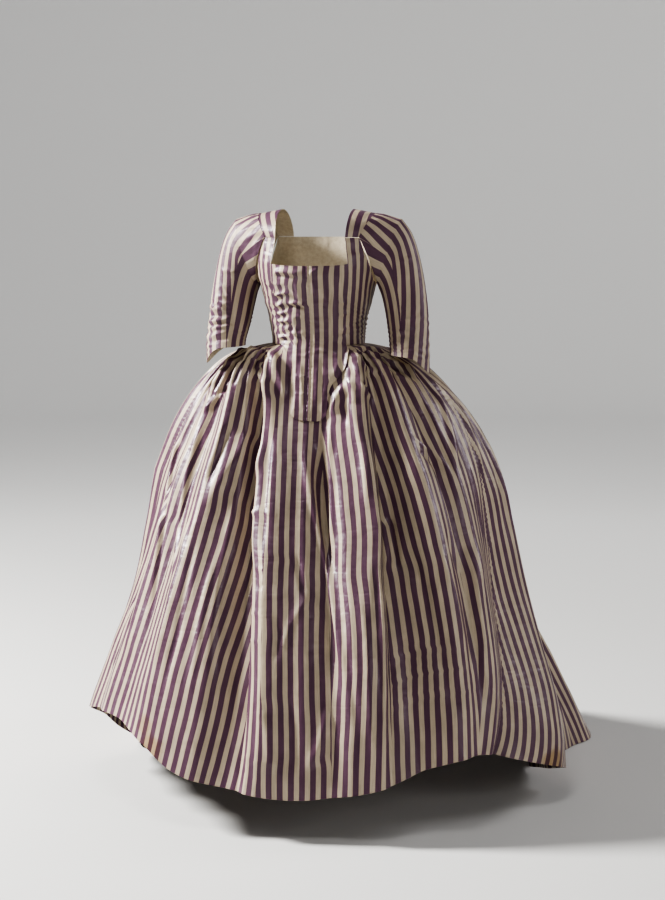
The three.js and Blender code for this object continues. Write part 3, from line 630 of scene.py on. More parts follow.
def cloth_shell(name, points, normals, left, right, down, thickness, materials):
    """points in mm on a grid; left and right are stripe counts of each cell's two sides."""
    rows, columns = points.shape[:2]
    behind = rows * columns
    thickness = np.broadcast_to(thickness, (rows, columns))
    inner = points - normals * thickness[..., None]
    vertices = np.concatenate([points.reshape(-1, 3), inner.reshape(-1, 3)]) * 0.001
    index = np.arange(behind).reshape(rows, columns)
    cells = np.stack([index[:-1, :-1], index[1:, :-1], index[1:, 1:], index[:-1, 1:]], axis=-1)
    cells_uv = np.stack([
        np.stack([left[:-1], down[:-1, :-1]], -1), np.stack([left[1:], down[1:, :-1]], -1),
        np.stack([right[1:], down[1:, 1:]], -1), np.stack([right[:-1], down[:-1, 1:]], -1),
    ], axis=2)
    outer, outer_uv = cells.reshape(-1, 4), cells_uv.reshape(-1, 4, 2)
    quads, quads_uv = [outer, outer[:, ::-1] + behind], [outer_uv, outer_uv[:, ::-1]]
    # the cells along each edge of the grid, and which two of their corners lie on that edge
    edges_of = (
        (np.s_[0, :], 0, 3), (np.s_[-1, :], 2, 1), (np.s_[:, 0], 1, 0), (np.s_[:, -1], 3, 2),
    )
    for along, p, q in edges_of:
        quads.append(cells[along][:, [p, q, q, p]] + [0, 0, behind, behind])
        quads_uv.append(cells_uv[along][:, [p, q, q, p]])
    quads, quads_uv = np.concatenate(quads), np.concatenate(quads_uv)

    mesh = bpy.data.meshes.new(name + "_silk")
    mesh.vertices.add(len(vertices))
    mesh.vertices.foreach_set("co", vertices.ravel())
    mesh.loops.add(quads.size)
    mesh.loops.foreach_set("vertex_index", quads.ravel().astype(np.int32))
    mesh.polygons.add(len(quads))
    mesh.polygons.foreach_set("loop_start", np.arange(0, quads.size, 4, dtype=np.int32))
    face_side = np.zeros(len(quads), np.int32)
    face_side[len(outer):2 * len(outer)] = 1
    mesh.polygons.foreach_set("material_index", face_side)
    mesh.update(calc_edges=True)
    mesh.uv_layers.new(name="cloth").data.foreach_set("uv", quads_uv.ravel())
    mesh.polygons.foreach_set("use_smooth", np.ones(len(quads), bool))
    rim = np.zeros((rows, columns), bool)
    rim[0] = rim[-1] = True
    rim[:, 0] = rim[:, -1] = True
    rim = np.concatenate([rim.ravel(), rim.ravel()])
    edges = np.zeros(len(mesh.edges) * 2, np.int32)
    mesh.edges.foreach_get("vertices", edges)
    edges = edges.reshape(-1, 2)
    same_face = (edges[:, 0] < behind) == (edges[:, 1] < behind)
    sharp = mesh.attributes.new("sharp_edge", "BOOLEAN", "EDGE")
    sharp.data.foreach_set("value", rim[edges[:, 0]] & rim[edges[:, 1]] & same_face)
    mesh.validate()
    for material in materials:
        mesh.materials.append(material)
    PIECES[name] = into_scene(name + "_silk", mesh)

    first = points[:-1, :-1]
    down, across = points[1:, :-1] - first, points[:-1, 1:] - first
    cell_area = np.linalg.norm(np.cross(down, across), axis=-1)
    width = np.linalg.norm(np.diff(points, axis=1), axis=2).sum(axis=1).max()
    length = np.linalg.norm(np.diff(points, axis=0), axis=2).sum(axis=0).max()
    CUTS[name] = (float(width) * 0.001, float(length) * 0.001, float(cell_area.sum()) * 1e-6)
    print(name, len(mesh.polygons) * 2, "triangles", round(CUTS[name][2], 4), "m2")


# %% [markdown]
# ## The silk
# The silk is a warp-striped taffeta: purple and cream in nearly equal bands. Its purple bands
# lie a little glossier, both colours change slightly from thread to thread, and two centuries
# have left fine creases and a brown stain at a hem corner. Two more brown patches, on the hem of
# the wearer's right front, are painted shade made with the same stain effect. Each effect is a
# node group with its own values, so the skirts, bodice and sleeves can share it.

# %% Node helpers
VECTOR, COLOUR, NUMBER = "NodeSocketVector", "NodeSocketColor", "NodeSocketFloat"


def new_group(name, inputs, outputs):
    """A node group, with the sockets that it is given inside and those for its results."""
    group = bpy.data.node_groups.new(name, "ShaderNodeTree")
    for label, kind, value in inputs:
        socket = group.interface.new_socket(name=label, in_out="INPUT", socket_type=kind)
        if value is not None:
            socket.default_value = value
    for label, kind in outputs:
        group.interface.new_socket(name=label, in_out="OUTPUT", socket_type=kind)
    given, result = group.nodes.new("NodeGroupInput"), group.nodes.new("NodeGroupOutput")
    return group, given.outputs, result.inputs


def feed(tree, socket, value):
    """Link a socket to another node's result, or set it to a plain value."""
    if isinstance(value, bpy.types.NodeSocket):
        tree.links.new(value, socket)
    elif value is not None:
        socket.default_value = value


def new_node(tree, kind, given):
    """The results of a new node whose sockets are fed these values."""
    node = tree.nodes.new(kind)
    for key, value in given.items():
        feed(tree, node.inputs[key], value)
    return node.outputs


def math_node(tree, operation, a, b=None):
    node = tree.nodes.new("ShaderNodeMath")
    node.operation = operation
    feed(tree, node.inputs[0], a)
    feed(tree, node.inputs[1], b)
    return node.outputs[0]


def ramp_node(tree, value, low, high, to_low=0.0, to_high=1.0):
    node = tree.nodes.new("ShaderNodeMapRange")
    node.interpolation_type = "SMOOTHSTEP"
    for socket, number in zip(node.inputs, (value, low, high, to_low, to_high)):
        feed(tree, socket, number)
    return node.outputs[0]


def colour_mix(tree, share, a, b, blend="MIX"):
    node = tree.nodes.new("ShaderNodeMix")
    node.data_type = "RGBA"
    node.blend_type = blend
    for place, value in ((0, share), (6, a), (7, b)):
        feed(tree, node.inputs[place], value)
    return node.outputs[2]


def noise_node(tree, vector, scale, detail, roughness=0.5, stretch=(1, 1, 1), distortion=0.0):
    stretched = new_node(tree, "ShaderNodeMapping", {"Vector": vector, "Scale": stretch})[0]
    return new_node(tree, "ShaderNodeTexNoise", {
        "Vector": stretched, "Scale": scale, "Detail": detail,
        "Roughness": roughness, "Distortion": distortion,
    })[0]


def bump_node(tree, height, distance, strength=1.0, normal=None):
    return new_node(tree, "ShaderNodeBump", {
        "Height": height, "Distance": distance, "Strength": strength, "Normal": normal,
    })[0]


def shared(tree, group, given):
    """The results of a shared effect, for a material that gives it these values."""
    node = tree.nodes.new("ShaderNodeGroup")
    node.node_tree = group
    for label, value in given.items():
        feed(tree, node.inputs[label], value)
    return node.outputs


# %% Stripe group
PURPLE = (0.120, 0.061, 0.096, 1)
CREAM = (0.48, 0.40, 0.30, 1)
STRIPE_EDGE = 0.018


def make_stripe_group():
    group, given, result = new_group(
        "Warp stripes",
        [("Cloth", VECTOR, None), ("Purple", COLOUR, PURPLE), ("Cream", COLOUR, CREAM),
         ("Cream share", NUMBER, 0.465)],
        [("Colour", COLOUR), ("Purple mask", NUMBER)],
    )
    cloth = given["Cloth"]
    part = math_node(group, "FRACT", new_node(group, "ShaderNodeSeparateXYZ", {0: cloth})[0])
    off_centre = math_node(group, "ABSOLUTE", math_node(group, "SUBTRACT", part, 0.5))
    half = math_node(group, "MULTIPLY", given["Cream share"], 0.5)
    inner = math_node(group, "SUBTRACT", half, STRIPE_EDGE)
    outer = math_node(group, "ADD", half, STRIPE_EDGE)
    purple = ramp_node(group, off_centre, inner, outer)
    thread = noise_node(group, cloth, 1.0, 2, 0.6, (34, 0.5, 1))
    shade = ramp_node(group, thread, 0.3, 0.7, 0.86, 1.1)
    blotch = ramp_node(group, noise_node(group, cloth, 0.35, 3, 0.6), 0.3, 0.75, 0.9, 1.08)
    tone = math_node(group, "MULTIPLY", shade, blotch)
    grey = new_node(group, "ShaderNodeCombineColor", {0: tone, 1: tone, 2: tone})[0]
    base = colour_mix(group, purple, given["Cream"], given["Purple"])
    feed(group, result["Colour"], colour_mix(group, 1.0, base, grey, "MULTIPLY"))
    feed(group, result["Purple mask"], purple)
    return group


# %% Weave and crease groups, and one for a stain and painted shade
def make_weave_group():
    group, given, result = new_group(
        "Taffeta weave", [("Cloth", VECTOR, None), ("Threads", NUMBER, 70.0)], [("Height", NUMBER)],
    )
    place = new_node(group, "ShaderNodeSeparateXYZ", {0: given["Cloth"]})
    turns = math_node(group, "MULTIPLY", given["Threads"], 2 * math.pi)
    warp = math_node(group, "SINE", math_node(group, "MULTIPLY", place[0], turns))
    weft = math_node(group, "SINE", math_node(group, "MULTIPLY", place[1], turns))
    feed(group, result["Height"], math_node(group, "MULTIPLY", warp, weft))
    return group


def make_crease_group():
    group, given, result = new_group(
        "Old silk creases", [("Position", VECTOR, None)], [("Height", NUMBER), ("Rubbed", NUMBER)],
    )

    def folded(scale, stretch, detail):
        noise = noise_node(group, given["Position"], scale, detail, 0.5, stretch, 0.25)
        away = math_node(group, "ABSOLUTE", math_node(group, "SUBTRACT", noise, 0.5))
        return ramp_node(group, away, 0.0, 0.16)

    broad = folded(13.0, (1, 1, 0.3), 1)
    fine = folded(46.0, (1, 1, 0.55), 2)
    cross = folded(26.0, (0.45, 0.45, 1.7), 1)
    total = math_node(group, "ADD", broad, math_node(group, "MULTIPLY", fine, 0.2))
    total = math_node(group, "ADD", total, math_node(group, "MULTIPLY", cross, 0.36))
    feed(group, result["Height"], total)
    feed(group, result["Rubbed"], ramp_node(group, fine, 0.0, 0.25, 1.0, 0.0))
    return group


# brown patches: one real stain at a hem corner, and painted shade on the hem of the wearer's right
# front
def make_stain_and_shade_group():
    group, given, result = new_group(
        "Age stain and painted shade",
        [("Position", VECTOR, None), ("Centre", VECTOR, (0, 0, 0)), ("Radius", NUMBER, 0.05)],
        [("Mask", NUMBER)],
    )
    away = group.nodes.new("ShaderNodeVectorMath")
    away.operation = "DISTANCE"
    feed(group, away.inputs[0], given["Position"])
    feed(group, away.inputs[1], given["Centre"])
    ragged = noise_node(group, given["Position"], 38.0, 3, 0.6)
    reach = math_node(group, "MULTIPLY", given["Radius"], math_node(group, "ADD", ragged, 0.45))
    share = math_node(group, "DIVIDE", away.outputs["Value"], reach)
    feed(group, result["Mask"], ramp_node(group, share, 0.55, 1.15, 1.0, 0.0))
    return group


STRIPES, WEAVE = make_stripe_group(), make_weave_group()
CREASES, STAIN_AND_SHADE = make_crease_group(), make_stain_and_shade_group()
print("effects", [group.name for group in (STRIPES, WEAVE, CREASES, STAIN_AND_SHADE)])

# %% Silk materials
STAIN_AND_SHADE_TINT = (0.72, 0.57, 0.36, 1)
STAIN_AND_SHADE_PLACES = [
    # centre in metres, radius, strength
    ((0.548, -0.085, -0.925), 0.045, 0.85),
    # painted shade: these two brown patches darken the hem of the wearer's right front, where it
    # lies in shade
    ((-0.295, -0.388, -0.850), 0.040, 0.7),
    ((-0.315, -0.371, -0.800), 0.025, 0.5),
]
GLOSS_LOST, GLOSS_GAINED, RUBBED_LOSS = 0.05, 0.03, 0.10
THREAD_HEIGHT, THREAD_STRENGTH = 0.00002, 0.5


def new_material(name, values):
    """A material with plain values set on its shader, its node tree and the shader's sockets."""
    material = bpy.data.materials.new(name)
    material.use_nodes = True
    shader = material.node_tree.nodes["Principled BSDF"].inputs
    for label, value in values.items():
        shader[label].default_value = value
    return material, material.node_tree, shader


def cloth_place(tree):
    node = tree.nodes.new("ShaderNodeUVMap")
    node.uv_map = "cloth"
    return node.outputs[0]


def silk(name, crease_depth, roughness, gloss_level):
    material, tree, shader = new_material(name, {
        "Sheen Weight": 0.02, "Sheen Roughness": 0.45, "Specular IOR Level": gloss_level,
    })
    cloth = cloth_place(tree)
    place = tree.nodes.new("ShaderNodeTexCoord").outputs["Object"]
    stripes = shared(tree, STRIPES, {"Cloth": cloth})
    creases = shared(tree, CREASES, {"Position": place})
    weave = shared(tree, WEAVE, {"Cloth": cloth})

    colour = stripes["Colour"]
    # brown patches multiplied into the stripes: a real stain, and painted shade on the right-front
    # hem
    for centre, radius, strength in STAIN_AND_SHADE_PLACES:
        stain_and_shade = shared(tree, STAIN_AND_SHADE, {"Position": place, "Centre": centre, "Radius": radius})
        share = math_node(tree, "MULTIPLY", stain_and_shade["Mask"], strength)
        colour = colour_mix(tree, share, colour, STAIN_AND_SHADE_TINT, "MULTIPLY")
    feed(tree, shader["Base Color"], colour)

    dull, glossy = roughness + GLOSS_LOST, roughness - GLOSS_GAINED
    gloss = ramp_node(tree, stripes["Purple mask"], 0.0, 1.0, dull, glossy)
    worn = math_node(tree, "MULTIPLY", creases["Rubbed"], RUBBED_LOSS)
    feed(tree, shader["Roughness"], math_node(tree, "ADD", gloss, worn))

    crumple = bump_node(tree, creases["Height"], crease_depth)
    threads = bump_node(tree, weave["Height"], THREAD_HEIGHT, THREAD_STRENGTH, crumple)
    feed(tree, shader["Normal"], threads)
    print(material.name)
    return material


SKIRT_SILK = silk("striped silk, skirts", 0.00065, 0.34, 0.42)
BODICE_SILK = silk("striped silk, bodice", 0.0008, 0.38, 0.36)
SLEEVE_SILK = silk("striped silk, sleeves", 0.0007, 0.47, 0.3)

# %% [markdown]
# ## Linen inside
# The bodice and sleeves are lined with plain cream linen, which shows inside the neck and cuffs.

# %% Linen material
LINEN_DARK, LINEN_PALE = (0.66, 0.58, 0.45, 1), (0.76, 0.69, 0.56, 1)
LINEN, linen_tree, linen_shader = new_material("cream linen lining", {"Roughness": 0.85})
linen_cloth = cloth_place(linen_tree)
linen_weave = shared(linen_tree, WEAVE, {"Cloth": linen_cloth, "Threads": 34.0})
linen_spots = ramp_node(linen_tree, noise_node(linen_tree, linen_cloth, 3.0, 4, 0.6), 0.3, 0.7)
linen_colour = colour_mix(linen_tree, linen_spots, LINEN_DARK, LINEN_PALE)
feed(linen_tree, linen_shader["Base Color"], linen_colour)
feed(linen_tree, linen_shader["Normal"], bump_node(linen_tree, linen_weave["Height"], 0.0001))
print(LINEN.name)

# %% [markdown]
# ## Skirt panels
# The petticoat front and sides and the gown's six widths are cut from the one grid, so that
# they meet exactly. The hem has a narrow facing turned up inside, which makes it thicker.

# %% Cut the panels
SKIRT_PANELS = [
    ("skirt_back_right_inner", "centre_back_start", "right_back_fold_12"),
    ("skirt_back_right_middle", "right_back_fold_12", "right_back_fold_6"),
    ("skirt_back_right_outer", "right_back_fold_6", "right_gown_edge"),
    ("skirt_side_right", "right_gown_edge", "right_tuck"),
    ("skirt_front", "right_tuck", "left_tuck"),
    ("skirt_side_left", "left_tuck", "left_gown_edge"),
    ("skirt_back_left_outer", "left_gown_edge", "left_back_fold_6"),
    ("skirt_back_left_middle", "left_back_fold_6", "left_back_fold_12"),
    ("skirt_back_left_inner", "left_back_fold_12", "centre_back_end"),
]
HEM_FACING, FACING_STEP, FACING_EXTRA = 45.0, 4, 0.8
shown_normals = grid_normals(skirt_shown)
seam_normal = unit(shown_normals[:, 0] + shown_normals[:, -1])
shown_normals[:, 0] = shown_normals[:, -1] = seam_normal
cloth_down = lengths_along(skirt_shown, 0)
from_hem = cloth_down[-1:] - cloth_down
wall = CLOTH + FACING_EXTRA * (1 - smooth(from_hem, HEM_FACING - FACING_STEP, HEM_FACING))
for name, start, end in SKIRT_PANELS:
    a, b = COLUMN_OF[start], COLUMN_OF[end]
    here = slice(a, b + 1)
    cloth_shell(
        name, skirt_shown[:, here], shown_normals[:, here], stripe_left[:, a:b],
        stripe_right[:, a:b], cloth_down[:, here] / STRIPE_REPEAT, wall[:, here],
        (SKIRT_SILK, SKIRT_SILK),
    )

# %% [markdown]
# ## The bodice
# The bodice is fitted to the torso in six pieces. The torso is a slightly squared oval that
# changes with height. Each front piece runs on below the waist as half of the point, which
# lies on the skirt, so its points are the skirt's points moved out.

# %% Torso
TORSO_SHAPE = np.array([
    # height, side, front, back
    [-30, 104, 95, 84], [0, 104, 95, 85], [30, 107, 99, 88], [60, 112, 106, 92],
    [100, 122, 118, 97], [135, 131, 130, 102], [160, 137, 136, 106], [185, 141, 133, 109],
    [210, 144, 124, 111], [250, 146, 110, 112],
], float)
TORSO_SQUARENESS = 2.15
BODICE_SEAMS = np.array([
    # height, azimuth of the front seam, azimuth of the back seam
    [0, 47, 151], [60, 43, 141], [120, 40, 131], [175, 38, 126], [250, 38, 126],
], float)
NECK_HEIGHT, YOKE_HEIGHT, ARMPIT_HEIGHT, STRAP_RISE = 175.0, 236.0, 136.0, 62.0
STRAP_OUTER, STRAP_BACK_INNER, STRAP_FLARE = 52.0, 142.0, 26.0
POINT_LAP, WALL = 4.6, 1.6


def torso_point(azimuth, height):
    side, front, back = (read(TORSO_SHAPE, column, height) for column in (1, 2, 3))
    depth = np.where(np.cos(np.radians(azimuth)) > 0, front, back)
    across = np.abs(np.sin(np.radians(azimuth)) / side) ** TORSO_SQUARENESS
    along = np.abs(np.cos(np.radians(azimuth)) / depth) ** TORSO_SQUARENESS
    return around(azimuth, (across + along) ** (-1 / TORSO_SQUARENESS), height)


def front_seam(height):
    return read(BODICE_SEAMS, 1, height)


def back_seam(height):
    return read(BODICE_SEAMS, 2, height)


YOKE = np.array([YOKE_HEIGHT])
STRAP_SHARE = float(((STRAP_OUTER - front_seam(YOKE)) / (back_seam(YOKE) - front_seam(YOKE)))[0])


def side_top(share):
    """The top of a side piece: level under the strap, then a dip that makes the armhole."""
    swing = np.abs(2 * (share - STRAP_SHARE) / (1 - STRAP_SHARE) - 1)
    dip = mix(ARMPIT_HEIGHT, YOKE_HEIGHT, swing ** 2.6)
    return np.where(share <= STRAP_SHARE, YOKE_HEIGHT, dip)


# %% Front pieces with the point
FRONT_HEM_DROP = WAIST_HEIGHT - float(read(HEM_LINE, 1, np.zeros(1))[0])
FRONT_COLUMNS, POINT_CELLS, BODY_CELLS = 44, 62, 74
BED_ROUNDS, PROBE_FOLD = 8, 0.12
TIP_ROUNDING, TOP_RISE, HUG = 12, 4, 2.6
BRIDGE_ROUNDS = 70


def skirt_bed(x, drop):
    """A point of the skirt below the bodice's point, and the way out of it."""
    azimuth = np.zeros(len(x))
    for _ in range(BED_ROUNDS):
        azimuth = np.degrees(np.arcsin(np.clip(x / plain_radius(azimuth, drop), -1, 1)))
    t = drop / FRONT_HEM_DROP
    place = fold_place(azimuth, t)
    across = skirt_point(place + PROBE_FOLD, t) - skirt_point(place - PROBE_FOLD, t)
    down = skirt_point(place, t + PROBE_SHARE) - skirt_point(place, t - PROBE_SHARE)
    return skirt_point(place, t), unit(np.cross(down, across))


def bodice_front(sign):
    share = np.linspace(0, 1, FRONT_COLUMNS)
    point_rows = np.linspace(1, 0, POINT_CELLS, endpoint=False)[:, None]
    low_drop = point_rows * (POINT_DEPTH - TIP_ROUNDING * share ** 4)
    drops = low_drop.ravel()
    half = read(POINT_EDGE, 1 if sign > 0 else 2, drops).reshape(low_drop.shape)
    bed, out = skirt_bed((sign * half * share).ravel(), drops)
    # the point's edge and its tip lie closer to the skirt than its middle
    hug = np.maximum(smooth(share, 0.72, 1), smooth(point_rows, 0.86, 1))
    lap = (POINT_LAP + WALL - HUG * hug * smooth(low_drop, 12, 40)).ravel()
    low_points = (bed + out * lap[:, None]).reshape(POINT_CELLS, FRONT_COLUMNS, 3)
    heights = np.linspace(0, 1, BODY_CELLS)[:, None] * (NECK_HEIGHT + TOP_RISE * share ** 3)
    azimuths = sign * share * front_seam(heights.ravel()).reshape(heights.shape)
    high_points = torso_point(azimuths.ravel(), heights.ravel())
    high_points = high_points.reshape(BODY_CELLS, FRONT_COLUMNS, 3)
    grid = np.concatenate([low_points, high_points])[::-1]
    # the stiff front bridges the waist in one smooth bend
    near_waist = 1 - smooth(np.abs(np.arange(len(grid)) - BODY_CELLS), 6, 18)
    weight = near_waist[:, None] * (1 - 0.94 * share ** 5)[None, :] * 0.5
    for _ in range(BRIDGE_ROUNDS):
        level = (grid[:-2] + grid[2:]) / 2
        grid[1:-1] = mix(grid[1:-1], level, weight[1:-1, :, None])
    return grid if sign > 0 else grid[:, ::-1]


# %% Gathered and creased places on the bodice
def on_front(points):
    """Looks up the point of a grid at a place seen from the front, given as x and height."""
    flat = points[grid_normals(points)[..., 1] < 0]

    def surface(x, height):
        gap = (flat[None, :, 0] - x[:, None]) ** 2 + (flat[None, :, 2] - height[:, None]) ** 2
        return np.stack([x, flat[gap.argmin(axis=1), 1], height], axis=1)

    return surface


GATHERS = {
    # x by height of the gathered line, height from, to, half width, spacing, depth
    "right": [
        ([(0, -60), (50, -69), (100, -72), (150, -70)], -6, 150, 27, 19.5, 3.2),
        ([(0, -44), (60, -54), (120, -56), (150, -52)], -4, 146, 40, 31.0, 1.2),
    ],
    "left": [
        ([(0, 100), (50, 102), (90, 99), (150, 96)], 4, 96, 13, 10.0, 2.2),
        ([(0, 70), (50, 75), (100, 80), (150, 82)], 10, 130, 11, 11.5, 1.0),
    ],
}
BODICE_CREASES = {
    # (x, height) along the crease, height, width, lean if it has one
    "right": [
        ([(-83, 160), (-60, 163), (-38, 161), (-6, 157)], 3.2, 5.5),
        ([(-80, 151), (-50, 152), (-18, 148)], -2.4, 5),
        ([(-50, 92), (-30, 95), (-3, 89)], 2.8, 3.6),
        ([(-50, 84), (-30, 86), (-4, 81)], -2.6, 3.6),
        ([(-44, 24), (-23, 28), (-5, 22)], 1.6, 4),
        ([(-40, 60), (-25, 64), (-6, 58)], 1.1, 4),
        ([(-26, 140), (-22, 110), (-20, 96)], 1.5, 5),
        ([(-40, 76), (-36, 40), (-33, 0), (-28, -60)], 1.3, 5),
        ([(-28, -20), (-14, -24), (-3, -20)], 1.0, 3),
        ([(-34, -66), (-18, -70), (-4, -66)], 1.2, 3.4),
        ([(-33, -104), (-16, -108), (-4, -104)], 1.1, 3.2),
        ([(-22, -30), (-15, -97), (-14, -145)], 1.2, 4.5),
        ([(-40, -30), (-36, -80), (-34, -140)], -1.2, 5),
    ],
    "left": [
        ([(3, 157), (14, 163), (26, 167)], 2.4, 4.5),
        ([(42, 166), (46, 123), (47, 79), (48, 12)], -1.7, 4.5),
        ([(52, 150), (58, 100), (60, 50)], 1.6, 6),
        ([(30, 140), (33, 90), (32, 30)], 1.0, 7),
        ([(44, 18), (58, 22), (72, 14)], 1.4, 4),
        ([(40, 4), (56, 8), (74, 2)], -1.4, 4),
        ([(12, 122), (28, 127), (44, 122)], 1.1, 4.5),
        ([(60, 100), (72, 92), (82, 96)], 1.4, 4.5),
        ([(56, -12), (62, -40), (56, -70)], 1.4, 6),
        ([(16, -40), (18, -90), (17, -140)], 1.0, 5),
        ([(26, -20), (29, -80), (30, -130)], -1.0, 5),
        ([(4, 96), (16, 92), (34, 97), (52, 90)], 1.5, 3.4),
        ([(6, 82), (22, 86), (40, 80)], 1.2, 3.4),
        ([(3, 60), (18, 55), (36, 60), (54, 52)], 1.2, 3.6),
        ([(6, 36), (24, 40), (44, 34)], 1.1, 3.6),
        ([(4, 12), (20, 8), (38, 14)], 1.2, 3.4),
        ([(5, -14), (22, -10), (40, -16)], 1.0, 3.4),
        ([(8, 146), (14, 128), (13, 108)], 1.5, 4.0),
        ([(34, 120), (42, 98), (44, 70)], 1.6, 4.0),
        ([(60, 40), (70, 34), (84, 40)], 1.6, 3.6),
        ([(58, 26), (70, 22), (86, 26)], -1.4, 3.6),
        ([(56, 70), (70, 66), (86, 72)], 1.4, 3.6),
    ],
}
STRAIN, SMALL_STRAIN, CREASED = 0.9, 0.7, 1.6


def gathered(points, side, seed):
    """Sharp little folds across the gathered lines, for the surface and for the stripes."""
    x, height = points[..., 0], points[..., 2]
    total = np.zeros(x.shape)
    for line, low, high, half, spacing, depth in GATHERS[side]:
        line = np.array(line, float)
        off_line = (x - np.interp(height, line[:, 0], line[:, 1])) / half
        turn = height / spacing + 0.9 * uneven(points, (26, 30, 40), seed + low) + 0.5 * off_line
        crest = 1 - 2 * np.abs(np.sin(np.pi * turn)) ** 0.8
        size = 0.75 + 0.9 * uneven(points, (18, 20, 16), seed + 1)
        zone = np.exp(-np.abs(off_line) ** 2.6) * smooth(height, low, low + 16)
        zone = zone * (1 - smooth(height, high - 22, high))
        total += depth * crest * size * np.where(points[..., 1] < 40, zone, 0)
    return total


def bodice_detail(points, side, seed):
    strain = STRAIN * uneven(points, (55, 55, 15), 21 + seed)
    small = SMALL_STRAIN * uneven(points, (20, 20, 9), 31 + seed)
    creased = CREASED * crease_heights(points, BODICE_CREASES[side], on_front(points))
    return strain + small + creased + gathered(points, side, 41 + seed)

# %% [markdown]
# The side pieces are cut away round the armhole, and the back pieces meet at the centre back.
# Stripes lie along the centre-front edge on the fronts and along the seams on the other pieces.

# %% Side and back pieces
SIDE_COLUMNS, SIDE_CELLS = 62, 92
BACK_COLUMNS, BACK_CELLS = 40, 100


def bodice_panel(sign, columns, cells, azimuth_at, bottom_at, top_at):
    share = np.linspace(0, 1, columns)
    heights = mix(bottom_at(share), top_at(share), np.linspace(1, 0, cells)[:, None])
    shares = np.broadcast_to(share, heights.shape).ravel()
    azimuths = sign * azimuth_at(shares, np.maximum(heights.ravel(), 0))
    grid = torso_point(azimuths, heights.ravel()).reshape(cells, columns, 3)
    return grid if sign > 0 else grid[:, ::-1]


def side_azimuth(share, height):
    return mix(front_seam(height), back_seam(height), share)


def back_azimuth(share, height):
    return mix(back_seam(height), 180.0, share)


def back_bottom(share):
    return -top_drop(back_azimuth(share, np.zeros(len(share)))) + SEAM


# %% Finish a body piece
BODY_CLOTH = 0.9


def count_from(points, column, stripe_way=None):
    """Cloth width from one column to every other, measured square to the stripes."""
    across = np.diff(points, axis=1)
    down = np.gradient(points, axis=0)
    if stripe_way is not None:
        down = np.broadcast_to(stripe_way, points.shape)
    out = grid_normals(points)
    down, out = unit(down[:, :-1] + down[:, 1:]), unit(out[:, :-1] + out[:, 1:])
    down = unit(down - (down * out).sum(axis=-1, keepdims=True) * out)
    total = running((np.cross(down, across) * out).sum(axis=-1), 1)
    return total - total[:, column:column + 1]


def drift_of(points, column, stripe_way):
    """How far one column moves across the stripes on its way down."""
    steps = np.diff(points[:, column], axis=0)
    out = grid_normals(points)[:, column]
    way, out = unit(stripe_way[:-1, 0] + stripe_way[1:, 0]), unit(out[:-1] + out[1:])
    way = unit(way - (way * out).sum(axis=-1, keepdims=True) * out)
    return running((np.cross(way, steps) * out).sum(axis=-1), 0)[:, None]


def body_piece(name, points, detail, count, outside):
    """A shell of the bodice or a sleeve, moved out by its detail and lined with linen."""
    shown = points + grid_normals(points) * detail[..., None]
    down = lengths_along(points, 0) / STRIPE_REPEAT
    count = count / STRIPE_REPEAT
    normals = grid_normals(shown)
    materials = (outside, LINEN)
    cloth_shell(name, shown, normals, count[:, :-1], count[:, 1:], down, BODY_CLOTH, materials)


# %% Cut the bodice
SIDES = (("left", 1), ("right", -1))
CENTRE_COUNT = 0.2675 * STRIPE_REPEAT
SIDE_COUNT = 90
GATHERED_IN, STRIPES_PUSHED = 1.13, 0.75
FAN = {"left": 0.16, "right": 0.05}
STITCH, STITCH_SPACING, STITCH_REACH = 0.5, 9, 5
GROOVE, GROOVE_AT, GROOVE_REACH = 1.5, 4, 1.5
STRIPE_SWAY, STRIPE_JOG = 2.4, 4.0
for side, sign in SIDES:
    fronts = bodice_front(sign)
    x, height = fronts[..., 0], fronts[..., 2]
    wide = count_from(fronts, 0 if sign > 0 else FRONT_COLUMNS - 1)
    edge = np.abs(wide)
    stitches = STITCH * np.sin(2 * np.pi * height / STITCH_SPACING) * bell(edge, STITCH_REACH)
    closing = stitches - GROOVE * bell(edge - GROOVE_AT, GROOVE_REACH)
    detail = bodice_detail(fronts, side, sign) * (0.3 + 0.7 * smooth(edge, 0, 9)) + closing
    fan = 1 - FAN[side] * np.clip(height / NECK_HEIGHT, 0, 1)
    pushed = STRIPES_PUSHED * gathered(fronts, side, 41 + sign)
    sway = STRIPE_SWAY * uneven(fronts, (42, 42, 38), 81 + sign) * smooth(edge, 4, 40)
    count = CENTRE_COUNT + wide * fan * GATHERED_IN + pushed + sway
    if sign < 0:
        jog = STRIPE_JOG * smooth(height, 84, 91) * (1 - smooth(height, 128, 150))
        count = count + jog * smooth(x, -64, -46)
    body_piece(f"bodice_front_{side}", fronts, detail, count, BODICE_SILK)

    sides = bodice_panel(sign, SIDE_COLUMNS, SIDE_CELLS, side_azimuth, lambda s: 0 * s, side_top)
    wide = count_from(sides, 0 if sign > 0 else SIDE_COLUMNS - 1)
    pushed = STRIPES_PUSHED * gathered(sides, side, 41 + sign)
    count = CENTRE_COUNT + sign * SIDE_COUNT + wide * GATHERED_IN + pushed
    body_piece(f"bodice_side_{side}", sides, bodice_detail(sides, side, sign), count, BODICE_SILK)

    backs = bodice_panel(
        sign, BACK_COLUMNS, BACK_CELLS, back_azimuth, back_bottom, lambda s: YOKE_HEIGHT + 0 * s,
    )
    count = count_from(backs, BACK_COLUMNS - 1 if sign > 0 else 0)
    detail = 0.5 * uneven(backs, (60, 60, 18), 9 + sign)
    detail = detail + 0.25 * uneven(backs, (20, 20, 10), 12 + sign)
    body_piece(f"bodice_back_{side}", backs, detail, count, BODICE_SILK)

# %% [markdown]
# ## Straps and sleeves
# The straps arch over the shoulders. The sleeve is a bent tube of two pieces, which blends
# from the armhole into the arm's own line and ends at the elbow.

